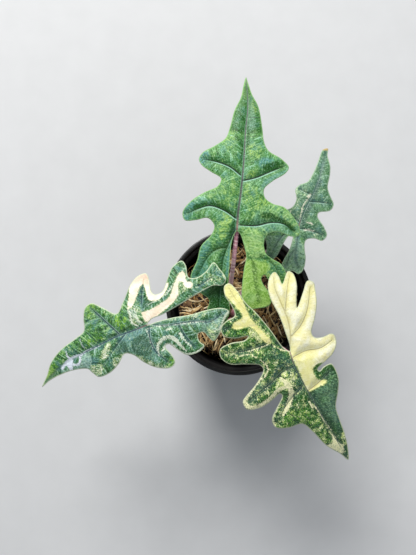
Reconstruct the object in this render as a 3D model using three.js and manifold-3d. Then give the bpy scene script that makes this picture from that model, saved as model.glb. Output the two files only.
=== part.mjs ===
// A potted, variegated jewel alocasia: four deeply lobed leaves on arching stalks that rise from one short
// crown, in a round nursery pot of coarse growing mix. Millimetres, +Z up, +X to the right.
// The origin is the middle of the pot's flat base.
import * as THREE from "three";
import { mergeVertices } from "three/addons/utils/BufferGeometryUtils.js";
import Module from "manifold-3d";

const wasm = await Module();
wasm.setup();

// Driving dimensions of the pot
const rimRadius = 60;
const potHeight = 90;
const baseRadius = 42;
const wallThickness = 1.5;
const floorThickness = 2.5;
const collarHeight = 13;
const collarStep = 2.5;
const collarInset = 1.2;
const collarTaper = 0.4;
const lipHeight = 3;
const lipWidth = 3.6;
const edgeBevel = 0.8;
const potSides = 44;
const drainHoleRadius = 3.5;
const drainHoleCount = 8;
const drainCircleRadius = 33;

// Driving dimensions of the growing mix and the crown
const clearance = 0.3;
const mixEdgeHeight = 77;
const mixMound = 4;
const mixLumps = 0.9;
const mixRings = 8;
const mixRimGap = 1;
const mixTopDepth = 32;
const mixFall = 19;
const mixFallSide = -80;
const mixFallStart = 30;
const mixFallEnd = 47;
const mixFallShrink = 0.06;
const mixShrink = 0.05;
const mixShrinkWave = 0.03;
const strandCount = 34;
const strandRadius = 1.1;
const strandHalfLength = 8;
const strandSpread = 42;
const strandCurl = 5;
const crownPlace = [-8.7, -11.5];
const crownRadius = 8.5;
const crownTop = 84.5;
const crownDepth = 16;
const crownFoot = 1.5;
const crownSides = 20;

// Driving dimensions shared by all leaves
const bladeThickness = 0.8;
const midribDepth = 1.1;
const veinDepth = 0.7;
const veinValley = 1.6;
const veinValleyWidth = 4;
const marginRoll = 1.4;
const marginRollWidth = 3.5;
const crossSag = 5;
const marginSpacing = 2.9;
const veinSpacing = 3.4;
const meshSpacing = 4.2;
const stalkTopRadius = 1.5;
const stalkBaseRadius = 2.9;
const stalkRootOffset = 4.6;
const stalkTilt = 18;
const stalkSeat = 4.5;
const stalkTaper = 0.3;
const sheathShare = 0.45;
const stalkSides = 8;
const stalkRings = 16;

// Each blade is drawn flat in its own frame, in millimetres: u runs from the stalk's joint to the tip and v
// to the left of it. The outline goes from the tip down the left side, round the sinus and back up the right
// side, one line for each lobe. heading and pitch, in degrees, aim u. arch and tail are the drop 100 mm in front
// of the joint and 100 mm behind it. rootAngle is the side of the crown that the stalk grows from, turn is the
// angle from the midrib's heading to the stalk's own where they meet, and rise and reach shape the stalk's curve.
const leaves = {
  back: {
    joint: [-4.5, 44, 175], heading: 86, pitch: 8, arch: 22, tail: 9,
    rootAngle: 110, turn: 0, rise: 68, reach: 26,
    outline: [
      [116.5, 0.5], [110, 2], [99.5, 3.5], [89, 7.5], [76, 10], [67.5, 12.5],
      [61, 20], [55.5, 28.5], [50.5, 31], [46, 28.5], [41.5, 21.5], [37, 14],
      [31.5, 16], [26.5, 25], [19, 35], [11, 40], [5.5, 38], [6, 30], [8, 21.5], [3, 16.5],
      [-3.5, 18], [-12.5, 25], [-22.5, 27], [-36, 31], [-44.5, 25.5], [-51, 16.5], [-59.5, 17.5],
      [-68, 12.5], [-70, 6.5], [-63, 2], [-55.5, 1], [-47, 3], [-37, 3.5], [-24.5, 3.5], [-12.5, 3.5],
      [-3.5, 2],
      [0, 0], [-2, -2.5], [-10.5, -6], [-18, -8], [-26, -7], [-37.5, -6.5], [-48, -7], [-55, -11],
      [-54.5, -19], [-51.5, -27.5], [-45.5, -28.5], [-36.5, -21.5], [-32.5, -20], [-30, -22], [-34.5, -26],
      [-41, -32], [-38, -37], [-29, -38], [-21.5, -33.5], [-18, -27], [-14.5, -22], [-7, -20], [-0.5, -22.5],
      [1.5, -30], [-1, -39], [0, -45], [5.5, -45], [12.5, -40.5], [19.5, -33], [21.5, -24.5], [25.5, -18.5],
      [31.5, -17.5], [38, -23.5], [44.5, -32.5], [49, -34.5], [54.5, -29], [60, -19], [66, -15.5],
      [77, -13.5], [92.5, -10], [103, -4.5], [112.5, -1],
    ],
    midrib: [[0, 0], [13.5, 0], [29.5, -1], [48, -1.5], [74, -1.5], [93.5, -2], [115, 0.5]],
    veins: [
      [[40.5, 0], [46, 8], [49, 17], [50.5, 27]],
      [[36.5, -1.5], [39.5, -11], [44.5, -21], [49, -30.5]],
      [[9, 1], [14.5, 10.5], [17, 20.5], [14, 29.5], [10.5, 36]],
      [[4.5, -1], [5, -13.5], [8, -24.5], [7.5, -33.5], [3, -41]],
      [[1.5, 1], [-9, 5], [-18.5, 8], [-32, 9], [-50.5, 9.5], [-65, 9]],
      [[-12, 6], [-14, 13.5], [-19, 19], [-34, 26]],
      [[-1.5, -2], [-11.5, -9], [-21.5, -12], [-35.5, -14], [-50, -18]],
      [[-18.5, -11.5], [-18.5, -19.5], [-22.5, -28.5], [-33, -34]],
    ],
  },
  left: {
    joint: [-69, -22.5, 165], heading: 209, pitch: -14, arch: 14, tail: 12,
    rootAngle: 200, turn: -19, rise: 60, reach: 22,
    outline: [
      [102, -0.5], [93, -1.5], [82, -1], [68.5, 1.5],
      [58, 6], [56.5, 9.5], [53.5, 15], [43, 16.5], [34, 14], [26, 10],
      [20.5, 14], [16.5, 22], [9.5, 30.5], [1, 35], [-4, 33], [-4.5, 27], [-3.5, 20],
      [-6.5, 19.5], [-10, 26], [-14.5, 33], [-23.5, 35], [-28.5, 33], [-27, 28.5], [-29, 23.5],
      [-33, 24.5], [-34, 29], [-36, 33.5], [-42, 31], [-50, 24.5], [-56, 20.5], [-53, 16], [-43.5, 12],
      [-31, 9], [-18.5, 4.5], [-7.5, 1.5],
      [0, 0], [-4.5, -2], [-13.5, -1], [-28.5, -1], [-45, -1.5], [-55.5, -1],
      [-61, 2], [-65.5, -0.5], [-65, -9.5], [-63.5, -15.5], [-55.5, -12.5], [-47.5, -12],
      [-43, -15], [-45, -23], [-44, -28], [-36, -27.5], [-29.5, -22.5], [-21, -15.5], [-15, -16.5],
      [-14, -20], [-16, -26.5], [-16.5, -33], [-10.5, -34.5], [-3, -32], [8.5, -23.5],
      [17, -18.5], [24.5, -27.5], [31.5, -35], [37.5, -34.5], [42, -28.5], [46.5, -20],
      [55, -18.5], [71, -17], [84, -12.5], [92, -6.5],
    ],
    midrib: [[0, 0], [11.5, -1.5], [26, -4], [41, -5], [59.5, -6], [78, -5.5], [100.5, -1]],
    veins: [
      [[18, -2.5], [32, 3.5], [44, 9], [51.5, 12.5]],
      [[-0.5, 1], [3.5, 9.5], [4.5, 19.5], [0.5, 31]],
      [[-2, 1], [-11.5, 7], [-22, 11], [-32, 15], [-41, 20.5], [-53, 19]],
      [[-20, 10.5], [-20, 20], [-22, 30.5]],
      [[-3, -1.5], [-14.5, -4.5], [-29.5, -6], [-45, -6], [-57, -6.5]],
      [[-26, -6], [-30.5, -13], [-40, -23]],
      [[0.5, -1], [-1.5, -10], [-6, -20], [-13, -30]],
      [[22.5, -4], [26, -13.5], [30, -24], [33.5, -32]],
    ],
  },
  front: {
    joint: [33.5, -42, 170], heading: -60, pitch: -16, arch: 12, tail: 10,
    rootAngle: 290, turn: 24, rise: 62, reach: 22,
    outline: [
      [101, 0.5], [92, 4], [78.5, 7], [66, 8.5], [55, 10.5],
      [45.5, 17], [37.5, 21.5], [29.5, 23], [24, 22], [23, 16], [24, 12], [22, 11.5],
      [20, 19], [18, 26.5], [13, 32.5], [7, 34], [4.5, 32], [3.5, 26], [0.5, 20.5],
      [-4, 20], [-11, 26.5], [-20, 33.5], [-29, 37.5], [-34, 39], [-37.5, 35.5], [-32.5, 29], [-25, 19.5],
      [-32, 23], [-39.5, 27.5], [-47.5, 29], [-50.5, 26.5], [-45, 18.5],
      [-51, 19], [-55, 18], [-54, 13.5], [-48.5, 8.5], [-40.5, 6], [-26.5, 5.5], [-13, 3.5], [-4, 2],
      [0, 0], [-4, -2.5], [-22.5, -5], [-38, -8], [-46, -10.5], [-56, -11.5], [-64, -14], [-64, -18],
      [-57.5, -21], [-50, -20.5],
      [-42.5, -22], [-42, -28.5], [-39, -35], [-33, -35.5], [-28, -29.5], [-25, -21],
      [-23.5, -24], [-26.5, -34], [-26, -42.5], [-20.5, -45], [-13.5, -42], [-8, -32.5], [-2, -23.5],
      [2, -23], [9, -32.5], [13.5, -42.5], [16.5, -47], [23, -47], [26.5, -38], [25.5, -28], [24, -21],
      [26.5, -20.5], [33.5, -29], [39, -35], [46, -35.5], [51, -27.5], [53.5, -17.5],
      [63, -13.5], [79, -9.5], [92, -3],
    ],
    midrib: [[0, 0], [9.5, -2], [21.5, -2.5], [33, -2.5], [49.5, -2], [68, -1.5], [84, -0.5], [99, 0.5]],
    veins: [
      [[33, -2.5], [31.5, 7.5], [29, 18]],
      [[5, 0], [5.5, 9.5], [9.5, 20], [9.5, 30.5]],
      [[-1.5, 1], [-10.5, 6], [-21, 9.5], [-34, 11], [-45, 12.5], [-52, 15.5]],
      [[-25.5, 10], [-34.5, 16], [-42, 21.5], [-47, 26]],
      [[-9, 6], [-12.5, 16], [-19.5, 25], [-32, 35]],
      [[-2, -2], [-13.5, -6], [-27, -9], [-40, -13], [-51.5, -15.5], [-61, -16]],
      [[-13, -6], [-14.5, -19], [-17, -29], [-21.5, -41]],
      [[-27, -9], [-31, -16.5], [-35.5, -25.5], [-37.5, -32]],
      [[11, -2], [10.5, -11], [13.5, -23.5], [18, -43]],
      [[27, -2.5], [31, -14.5], [36.5, -24.5], [43.5, -33]],
    ],
  },
  right: {
    joint: [42.5, 48.5, 148], heading: 70, pitch: 5, arch: 20, tail: 12,
    rootAngle: 20, turn: -55, rise: 50, reach: 30,
    outline: [
      [68.5, -0.5], [66, 3], [56.5, 3.5], [46.5, 4], [38, 6],
      [33.5, 11], [29, 12.5], [23, 9.5], [16.5, 10], [11.5, 14.5], [6, 19.5], [-2, 23], [-10.5, 23],
      [-18, 18.5], [-24.5, 16.5], [-27.5, 12], [-23.5, 9], [-14.5, 7.5], [-7, 6],
      [-2.5, 3], [-7, 2], [-15.5, 1.5], [-25, 3], [-30.5, 2.5], [-31.5, -2.5], [-29.5, -6],
      [-30, -11.5], [-26, -13.5], [-18, -12.5], [-8, -8], [-4, -8],
      [-1, -13], [-0.5, -19.5], [4.5, -21.5], [9.5, -17.5], [15.5, -10],
      [18.5, -10], [23, -17.5], [28.5, -18.5], [33.5, -14], [39, -10], [48.5, -8.5], [55.5, -6.5], [63, -2],
    ],
    midrib: [[0, 0.5], [7.5, 1], [20, 0.5], [30, -1], [43.5, -1.5], [56.5, -0.5], [67, 0]],
    veins: [
      [[29.5, -1], [30, 5], [31, 10]],
      [[7, 1], [8, 8.5], [1, 17], [-8, 20]],
      [[0, 2], [-6, 9], [-15.5, 12], [-24, 13]],
      [[-1.5, -0.5], [-11, -2.5], [-20.5, -5], [-26, -10]],
      [[-12.5, -3], [-21, -0.5], [-28, 0]],
      [[2.5, 0], [3.5, -8.5], [3.5, -18]],
      [[24, 0], [26, -7], [28, -16]],
    ],
  },
};

const materials = {
  pot: new THREE.MeshStandardMaterial({ color: 0x101013, roughness: 0.45, metalness: 0 }),
  mix: new THREE.MeshStandardMaterial({ color: 0x7a5533, roughness: 0.95, metalness: 0 }),
  crown: new THREE.MeshStandardMaterial({ color: 0x6b4a3a, roughness: 0.8, metalness: 0 }),
  stalk: new THREE.MeshStandardMaterial({ color: 0x8d5f6c, roughness: 0.5, metalness: 0 }),
  back: new THREE.MeshStandardMaterial({ color: 0x5f9a50, roughness: 0.5, metalness: 0 }),
  left: new THREE.MeshStandardMaterial({ color: 0x6fa37d, roughness: 0.5, metalness: 0 }),
  front: new THREE.MeshStandardMaterial({ color: 0x8fa66b, roughness: 0.5, metalness: 0 }),
  right: new THREE.MeshStandardMaterial({ color: 0x6b8f72, roughness: 0.5, metalness: 0 }),
};

// A repeatable stream of numbers from 0 to 1
function randomStream(seed) {
  let state = seed;
  return () => {
    state = (state * 16807) % 2147483647;
    return state / 2147483647;
  };
}

const polar = (radius, degrees) => {
  const angle = THREE.MathUtils.degToRad(degrees);
  return [radius * Math.cos(angle), radius * Math.sin(angle)];
};

// Solids and meshes

function toSolid(geometry) {
  const bare = geometry.clone();
  bare.deleteAttribute("normal");
  bare.deleteAttribute("uv");
  const merged = mergeVertices(bare, 1e-4);
  const vertProperties = new Float32Array(merged.attributes.position.array);
  const triVerts = new Uint32Array(merged.index.array);
  return new wasm.Manifold(new wasm.Mesh({ numProp: 3, vertProperties, triVerts }));
}

function toGeometry(solid) {
  const mesh = solid.getMesh();
  const geometry = new THREE.BufferGeometry();
  geometry.setAttribute("position", new THREE.BufferAttribute(mesh.vertProperties, 3));
  geometry.setIndex(new THREE.BufferAttribute(mesh.triVerts, 1));
  geometry.computeVertexNormals();
  return geometry;
}

// A turned solid about +Z, from [radius, height] points going up its outside
function turned(profile, sides) {
  const points = profile.map(([radius, height]) => new THREE.Vector2(radius, height));
  return new THREE.LatheGeometry(points, sides).rotateX(Math.PI / 2);
}

// A turned solid bent so that its axis, from height 0 to 1, follows a curve. Its rings are evenly spaced.
function bentAlong(curve, profile, sides, rings) {
  const frames = curve.computeFrenetFrames(rings);
  const geometry = turned(profile, sides);
  const position = geometry.attributes.position;
  const place = new THREE.Vector3();
  for (let i = 0; i < position.count; i += 1) {
    const height = THREE.MathUtils.clamp(position.getZ(i), 0, 1);
    const ring = Math.round(height * rings);
    curve.getPointAt(height, place);
    place.addScaledVector(frames.normals[ring], position.getX(i));
    place.addScaledVector(frames.binormals[ring], position.getY(i));
    position.setXYZ(i, place.x, place.y, place.z);
  }
  return geometry;
}

// Blades

function pathThrough(points, closed = false) {
  const corners = points.map(([u, v]) => new THREE.Vector3(u, v, 0));
  return new THREE.CatmullRomCurve3(corners, closed, "centripetal");
}

function pointsAlong(path, spacing) {
  return path.getSpacedPoints(Math.ceil(path.getLength() / spacing)).map((point) => [point.x, point.y]);
}

function isInside([u, v], outline) {
  let inside = false;
  outline.forEach(([u1, v1], i) => {
    const [u2, v2] = outline[(i + 1) % outline.length];
    if (v1 > v !== v2 > v && u < ((u2 - u1) * (v - v1)) / (v2 - v1) + u1) {
      inside = !inside;
    }
  });
  return inside;
}

function nearest([u, v], points) {
  return Math.min(...points.map(([a, b]) => Math.hypot(a - u, b - v)));
}

// Delaunay triangles of flat points, by adding the points one at a time
function delaunay(points) {
  const far = 1e4;
  const all = [...points, [-far, -far], [far, -far], [0, far]];
  const first = points.length;
  let triangles = [withCircle(all, first, first + 1, first + 2)];
  points.forEach((point, index) => {
    const edges = new Map();
    const kept = [];
    for (const triangle of triangles) {
      const distance = Math.hypot(point[0] - triangle.centre[0], point[1] - triangle.centre[1]);
      if (distance > triangle.radius) {
        kept.push(triangle);
        continue;
      }
      const [a, b, c] = triangle.corners;
      for (const [start, end] of [[a, b], [b, c], [c, a]]) {
        const reversed = `${end},${start}`;
        if (edges.has(reversed)) {
          edges.delete(reversed);
        } else {
          edges.set(`${start},${end}`, [start, end]);
        }
      }
    }
    for (const [start, end] of edges.values()) {
      kept.push(withCircle(all, start, end, index));
    }
    triangles = kept;
  });
  return triangles.map((triangle) => triangle.corners).filter((corners) => Math.max(...corners) < first);
}

function withCircle(points, a, b, c) {
  const [ax, ay] = points[a];
  const bx = points[b][0] - ax;
  const by = points[b][1] - ay;
  const cx = points[c][0] - ax;
  const cy = points[c][1] - ay;
  const area = 2 * (bx * cy - by * cx);
  const x = (cy * (bx * bx + by * by) - by * (cx * cx + cy * cy)) / area;
  const y = (bx * (cx * cx + cy * cy) - cx * (bx * bx + by * by)) / area;
  return { corners: [a, b, c], centre: [ax + x, ay + y], radius: Math.hypot(x, y) };
}

// The flat mesh points of a blade: its outline first, then its veins, then a staggered lattice between them
function flatPoints(outline, veinPoints) {
  const points = [...outline];
  const random = randomStream(7);
  const addClear = (candidate, gap) => {
    if (isInside(candidate, outline) && nearest(candidate, points) > gap) {
      points.push(candidate);
    }
  };
  veinPoints.forEach((point) => addClear(point, 0.5 * veinSpacing));
  const us = outline.map(([u]) => u);
  const vs = outline.map(([, v]) => v);
  const rowStep = meshSpacing * Math.sin(Math.PI / 3);
  const wobble = 0.1;
  let stagger = 0;
  for (let v = Math.min(...vs); v < Math.max(...vs); v += rowStep) {
    for (let u = Math.min(...us) + stagger; u < Math.max(...us); u += meshSpacing) {
      addClear([u + wobble * random(), v + wobble * random()], 0.68 * meshSpacing);
    }
    stagger = meshSpacing / 2 - stagger;
  }
  return points;
}

// The blade's own axes: along its midrib, to its left, and up out of its face
function bladeAxes(leaf) {
  const heading = THREE.MathUtils.degToRad(leaf.heading);
  const pitch = THREE.MathUtils.degToRad(leaf.pitch);
  const along = new THREE.Vector3(
    Math.cos(heading) * Math.cos(pitch),
    Math.sin(heading) * Math.cos(pitch),
    Math.sin(pitch),
  );
  const left = new THREE.Vector3(-Math.sin(heading), Math.cos(heading), 0);
  const up = along.clone().cross(left);
  return { along, left, up };
}

// A place on the arched blade, raised out of its face by lift
function onBlade(leaf, u, v, lift) {
  const { along, left, up } = bladeAxes(leaf);
  const bend = u > 0 ? leaf.arch : leaf.tail;
  const drop = bend * (u / 100) ** 2 + crossSag * (v / 50) ** 2;
  return new THREE.Vector3(...leaf.joint)
    .addScaledVector(along, u)
    .addScaledVector(left, v)
    .addScaledVector(up, lift - drop);
}

// How far a blade is lowered from its smooth arch at a place: veins lie in valleys and the margin rolls down
function reliefOf(leaf) {
  const outline = pointsAlong(pathThrough(leaf.outline, true), 1);
  const veins = [leaf.midrib, ...leaf.veins].flatMap((vein) => pointsAlong(pathThrough(vein), 1));
  return (point) => {
    const valley = veinValley * Math.exp(-((nearest(point, veins) / veinValleyWidth) ** 2));
    const roll = marginRoll * Math.exp(-((nearest(point, outline) / marginRollWidth) ** 2));
    return valley + roll;
  };
}

// A thin waved sheet whose veins stand out as ribs underneath. Both faces have the same triangles.
function blade(leaf) {
  const outline = pointsAlong(pathThrough(leaf.outline, true), marginSpacing).slice(0, -1);
  const midribPoints = pointsAlong(pathThrough(leaf.midrib), veinSpacing);
  const sidePoints = leaf.veins.flatMap((vein) => pointsAlong(pathThrough(vein), veinSpacing));
  const points = flatPoints(outline, [...midribPoints, ...sidePoints]);
  const middle = (corners, axis) => corners.reduce((sum, corner) => sum + points[corner][axis], 0) / 3;
  const centre = (corners) => [middle(corners, 0), middle(corners, 1)];
  const faces = delaunay(points).filter((corners) => isInside(centre(corners), outline));

  const relief = reliefOf(leaf);
  const same = 0.1;
  const topSide = [];
  const underSide = [];
  points.forEach((point) => {
    const onMidrib = nearest(point, midribPoints) < same;
    const onVein = nearest(point, sidePoints) < same;
    const rib = (onMidrib && midribDepth) || (onVein && veinDepth) || 0;
    topSide.push(onBlade(leaf, ...point, bladeThickness / 2 - relief(point)));
    underSide.push(onBlade(leaf, ...point, -bladeThickness / 2 - rib - relief(point)));
  });

  const count = points.length;
  const index = [];
  for (const [a, b, c] of faces) {
    index.push(a, b, c, count + c, count + b, count + a);
  }
  outline.forEach((_, i) => {
    const j = (i + 1) % outline.length;
    index.push(count + i, count + j, j, count + i, j, i);
  });
  const geometry = new THREE.BufferGeometry().setFromPoints([...topSide, ...underSide]);
  geometry.setIndex(index);
  geometry.computeVertexNormals();
  return geometry;
}

// Stalks

// A stalk leaves the crown upright, arches over and rises by stalkTilt degrees into the blade's underside
function stalk(leaf) {
  const [rootX, rootY] = polar(stalkRootOffset, leaf.rootAngle);
  const root = new THREE.Vector3(crownPlace[0] + rootX, crownPlace[1] + rootY, crownTop + clearance);
  const { along, up } = bladeAxes(leaf);
  const arrival = along.clone().applyAxisAngle(up, THREE.MathUtils.degToRad(leaf.turn));
  arrival.addScaledVector(up, Math.tan(THREE.MathUtils.degToRad(stalkTilt))).normalize();
  const underside = bladeThickness / 2 + midribDepth + reliefOf(leaf)([stalkSeat, 0]);
  const end = onBlade(leaf, stalkSeat, 0, -underside - clearance - stalkTopRadius);
  const curve = new THREE.CubicBezierCurve3(
    root,
    root.clone().add(new THREE.Vector3(0, 0, leaf.rise)),
    end.clone().addScaledVector(arrival, -leaf.reach),
    end,
  );
  const profile = [[0, 0]];
  for (let ring = 0; ring <= stalkRings; ring += 1) {
    const height = ring / stalkRings;
    const sheath = Math.max(0, 1 - height / sheathShare) ** 1.5;
    const plain = stalkTopRadius + stalkTaper * (1 - height);
    profile.push([plain + (stalkBaseRadius - stalkTopRadius - stalkTaper) * sheath, height]);
  }
  profile.push([0, 1]);
  return bentAlong(curve, profile, stalkSides, stalkRings);
}

// Pot

const wallAt = (height) => baseRadius + ((rimRadius - collarStep - baseRadius) * height) / potHeight;
const collarBottom = potHeight - collarHeight;

// A thin tapered wall with a wider collar, a rolled lip and drain holes round a solid middle
function pot() {
  const stepBottom = collarBottom - collarStep;
  const collarTopRadius = rimRadius - collarInset;
  const collarBottomRadius = collarTopRadius - collarTaper;
  const lipBottom = potHeight - lipHeight;
  const lipInside = rimRadius - lipWidth;
  const profile = [
    [0, 0],
    [baseRadius - edgeBevel, 0],
    [baseRadius, edgeBevel],
    [wallAt(stepBottom), stepBottom],
    [collarBottomRadius, collarBottom],
    [collarTopRadius, lipBottom - edgeBevel],
    [rimRadius, lipBottom],
    [rimRadius, potHeight - edgeBevel],
    [rimRadius - edgeBevel, potHeight],
    [lipInside + edgeBevel, potHeight],
    [lipInside, potHeight - edgeBevel],
    [collarBottomRadius - wallThickness, collarBottom + edgeBevel],
    [wallAt(stepBottom) - wallThickness, stepBottom + edgeBevel],
    [wallAt(floorThickness) - wallThickness, floorThickness],
    [0, floorThickness],
  ];
  let solid = toSolid(turned(profile, potSides));
  for (let i = 0; i < drainHoleCount; i += 1) {
    const [x, y] = polar(drainCircleRadius, (360 * (i + 0.5)) / drainHoleCount);
    const hole = new THREE.CylinderGeometry(drainHoleRadius, drainHoleRadius, 4 * floorThickness, 12);
    solid = solid.subtract(toSolid(hole.rotateX(Math.PI / 2).translate(x, y, 0)));
  }
  return toGeometry(solid);
}

// Growing mix

// How much of the fall towards the front wall is reached at a place, from 0 to 1
function fallShare(radius, angle) {
  const forward = radius * Math.cos(angle - THREE.MathUtils.degToRad(mixFallSide));
  return THREE.MathUtils.smoothstep(forward, mixFallStart, mixFallEnd);
}

// The top of the mix is a low mound with lumps that has slumped away from the front wall
function mixTop(radius, angle) {
  const share = radius / wallAt(mixEdgeHeight);
  const lumps = Math.sin(0.31 * radius + 3 * angle) * Math.cos(0.23 * radius - 5 * angle);
  const mound = mixEdgeHeight + mixMound * (1 - share ** 2) + mixLumps * lumps;
  return mound - mixFall * fallShare(radius, angle);
}

function mixBody() {
  const wallGap = wallThickness + 2 * clearance;
  const bottom = floorThickness + clearance;
  const shrinkHeight = mixEdgeHeight - mixTopDepth;
  const topRadius = wallAt(mixEdgeHeight) - wallGap - mixRimGap;
  const profile = [
    [0, bottom],
    [wallAt(bottom) - wallGap, bottom],
    [wallAt(shrinkHeight) - wallGap, shrinkHeight],
  ];
  for (let ring = mixRings; ring > 0; ring -= 1) {
    profile.push([(topRadius * ring) / mixRings, mixEdgeHeight]);
  }
  profile.push([0, mixEdgeHeight]);
  const geometry = turned(profile, potSides);
  const position = geometry.attributes.position;
  for (let i = 0; i < position.count; i += 1) {
    if (position.getZ(i) < mixEdgeHeight - clearance) {
      continue;
    }
    const x = position.getX(i);
    const y = position.getY(i);
    const angle = Math.atan2(y, x);
    const radius = Math.hypot(x, y);
    const gap = mixShrink + mixShrinkWave * Math.sin(3 * angle + 1) + mixFallShrink * fallShare(radius, angle);
    const shrink = 1 - gap * (radius / topRadius) ** 4;
    position.setXYZ(i, x * shrink, y * shrink, mixTop(radius, angle));
  }
  return toSolid(geometry);
}

// Short curled strands of fibre, half sunk in the top of the mix
function strands() {
  const random = randomStream(14);
  const rings = 6;
  const sides = 4;
  const profile = [[0, 0]];
  for (let ring = 0; ring <= rings; ring += 1) {
    profile.push([strandRadius, ring / rings]);
  }
  profile.push([0, 1]);
  const solids = [];
  for (let i = 0; i < strandCount; i += 1) {
    const radius = strandSpread * Math.sqrt(random());
    const angle = 2 * Math.PI * random();
    const turn = 2 * Math.PI * random();
    const half = strandHalfLength * (0.6 + 0.8 * random());
    const curl = strandCurl * (random() - 0.5);
    const corners = [-1, -0.4, 0.4, 1].map((share) => {
      const side = curl * (1 - share ** 2);
      const x = radius * Math.cos(angle) + half * share * Math.cos(turn) - side * Math.sin(turn);
      const y = radius * Math.sin(angle) + half * share * Math.sin(turn) + side * Math.cos(turn);
      const sunk = strandRadius * (share ** 2 - 0.3);
      return new THREE.Vector3(x, y, mixTop(Math.hypot(x, y), Math.atan2(y, x)) - sunk);
    });
    solids.push(toSolid(bentAlong(new THREE.CatmullRomCurve3(corners), profile, sides, rings)));
  }
  return solids;
}

// The crown stands in a plain hole in the mix
function mix() {
  const holeBottom = crownTop - crownDepth - clearance;
  const holeHeight = potHeight;
  const holeRadius = crownRadius + clearance;
  const hole = new THREE.CylinderGeometry(holeRadius, holeRadius, holeHeight, crownSides);
  hole.rotateX(Math.PI / 2).translate(...crownPlace, holeBottom + holeHeight / 2);
  const whole = strands().reduce((solid, strand) => solid.add(strand), mixBody());
  return toGeometry(whole.subtract(toSolid(hole)));
}

function crown() {
  const bottom = crownTop - crownDepth;
  const profile = [
    [0, bottom],
    [crownRadius - crownFoot, bottom],
    [crownRadius, bottom + crownDepth / 4],
    [crownRadius, crownTop - 2 * crownFoot],
    [crownRadius - crownFoot / 4, crownTop - crownFoot / 2],
    [crownRadius - crownFoot / 2, crownTop],
    [0, crownTop],
  ];
  return turned(profile, crownSides).translate(...crownPlace, 0);
}

// The whole plant in its pot

const plant = new THREE.Group();

function addPiece(name, geometry, material) {
  const piece = new THREE.Mesh(geometry, material);
  piece.name = name;
  plant.add(piece);
}

addPiece("pot", pot(), materials.pot);
addPiece("substrate", mix(), materials.mix);
addPiece("crown", crown(), materials.crown);
for (const [side, leaf] of Object.entries(leaves)) {
  addPiece(`petiole_${side}`, stalk(leaf), materials.stalk);
  addPiece(`blade_${side}`, blade(leaf), materials[side]);
}

export default plant;
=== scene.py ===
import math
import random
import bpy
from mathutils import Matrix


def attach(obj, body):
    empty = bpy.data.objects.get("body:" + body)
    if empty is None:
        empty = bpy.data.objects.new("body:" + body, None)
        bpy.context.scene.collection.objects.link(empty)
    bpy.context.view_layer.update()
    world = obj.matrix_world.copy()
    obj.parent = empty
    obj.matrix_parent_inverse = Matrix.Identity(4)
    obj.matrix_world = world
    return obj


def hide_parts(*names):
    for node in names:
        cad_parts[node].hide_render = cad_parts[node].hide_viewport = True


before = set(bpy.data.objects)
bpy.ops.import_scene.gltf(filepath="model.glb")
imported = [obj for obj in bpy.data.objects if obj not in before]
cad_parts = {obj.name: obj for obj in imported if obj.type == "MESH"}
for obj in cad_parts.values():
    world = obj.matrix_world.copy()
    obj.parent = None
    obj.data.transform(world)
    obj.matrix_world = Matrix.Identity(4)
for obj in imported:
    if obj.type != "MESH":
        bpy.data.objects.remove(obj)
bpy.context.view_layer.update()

# The looks of a potted variegated alocasia: four lobed leaves on arching stalks, in a pot of coarse mix.
# Leaf shapes are in millimetres in each leaf's own flat frame, as in the CAD. Meshes are in metres.
from types import SimpleNamespace

import bmesh
import bpy
import numpy as np
from mathutils import Quaternion, Vector
from mathutils.geometry import delaunay_2d_cdt
from mathutils.kdtree import KDTree

MM = 0.001

# Driving dimensions that repeat the CAD, in millimetres and degrees
RIM_RADIUS = 60
POT_HEIGHT = 90
BASE_RADIUS = 42
WALL = 1.5
FLOOR = 2.5
COLLAR_HEIGHT = 13
COLLAR_STEP = 2.5
COLLAR_INSET = 1.2
COLLAR_TAPER = 0.4
LIP_HEIGHT = 3
LIP_WIDTH = 3.6
EDGE_BEVEL = 0.8
DRAIN_HOLE_RADIUS = 3.5
DRAIN_CIRCLE_RADIUS = 33
DRAIN_HOLES = 8
MIX_EDGE_HEIGHT = 77
MIX_MOUND = 4
MIX_LUMPS = 0.9
MIX_FALL = 19
MIX_FALL_SIDE = -80
MIX_FALL_START = 30
MIX_FALL_END = 47
CROWN_PLACE = (-8.7, -11.5)
CROWN_RADIUS = 8.5
CROWN_TOP = 84.5
STALK_ROOT_OFFSET = 4.6
STALK_TILT = 18
STALK_SEAT = 4.5
STALK_TOP_RADIUS = 1.5
STALK_TAPER = 0.3
STALK_BASE_RADIUS = 2.9
SHEATH_SHARE = 0.45
BLADE_THICKNESS = 0.8
MIDRIB_DEPTH = 1.1
VEIN_DEPTH = 0.7
VEIN_VALLEY = 1.6
VEIN_VALLEY_WIDTH = 4
MARGIN_ROLL = 1.4
MARGIN_ROLL_WIDTH = 3.5
CROSS_SAG = 5

# Fine structure of the blades, in millimetres
SHEET = 0.5
MARGIN_SHARE = 0.45
MESH_STEP = 0.62
MESH_UNEVENNESS = 0.08
PATH_STEP = 0.25
FINE_VEIN_SPACING = 2.0
FINE_VEIN_LEAN = 0.55
DOME_SPACING = 2.1
DOME_HEIGHT = 0.28
HOLLOW_HEIGHT = 0.448
GROOVE_HEIGHT = 0.14
PUCKER_HEIGHT = 0.5
PUCKER_SIZE = 9
VALLEY_LEVELLED = 0.85
ROLL_LEVELLED = 0.7
DOMES_CALMED = 0.75
VEIN_RUN_ON = 14
VEIN_RIB_WIDTH = 0.9
TIPWARD_REACH = 6
MIDRIB_HALF_WIDTH = 1.25
MIDRIB_NARROWING = 0.85

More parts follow.
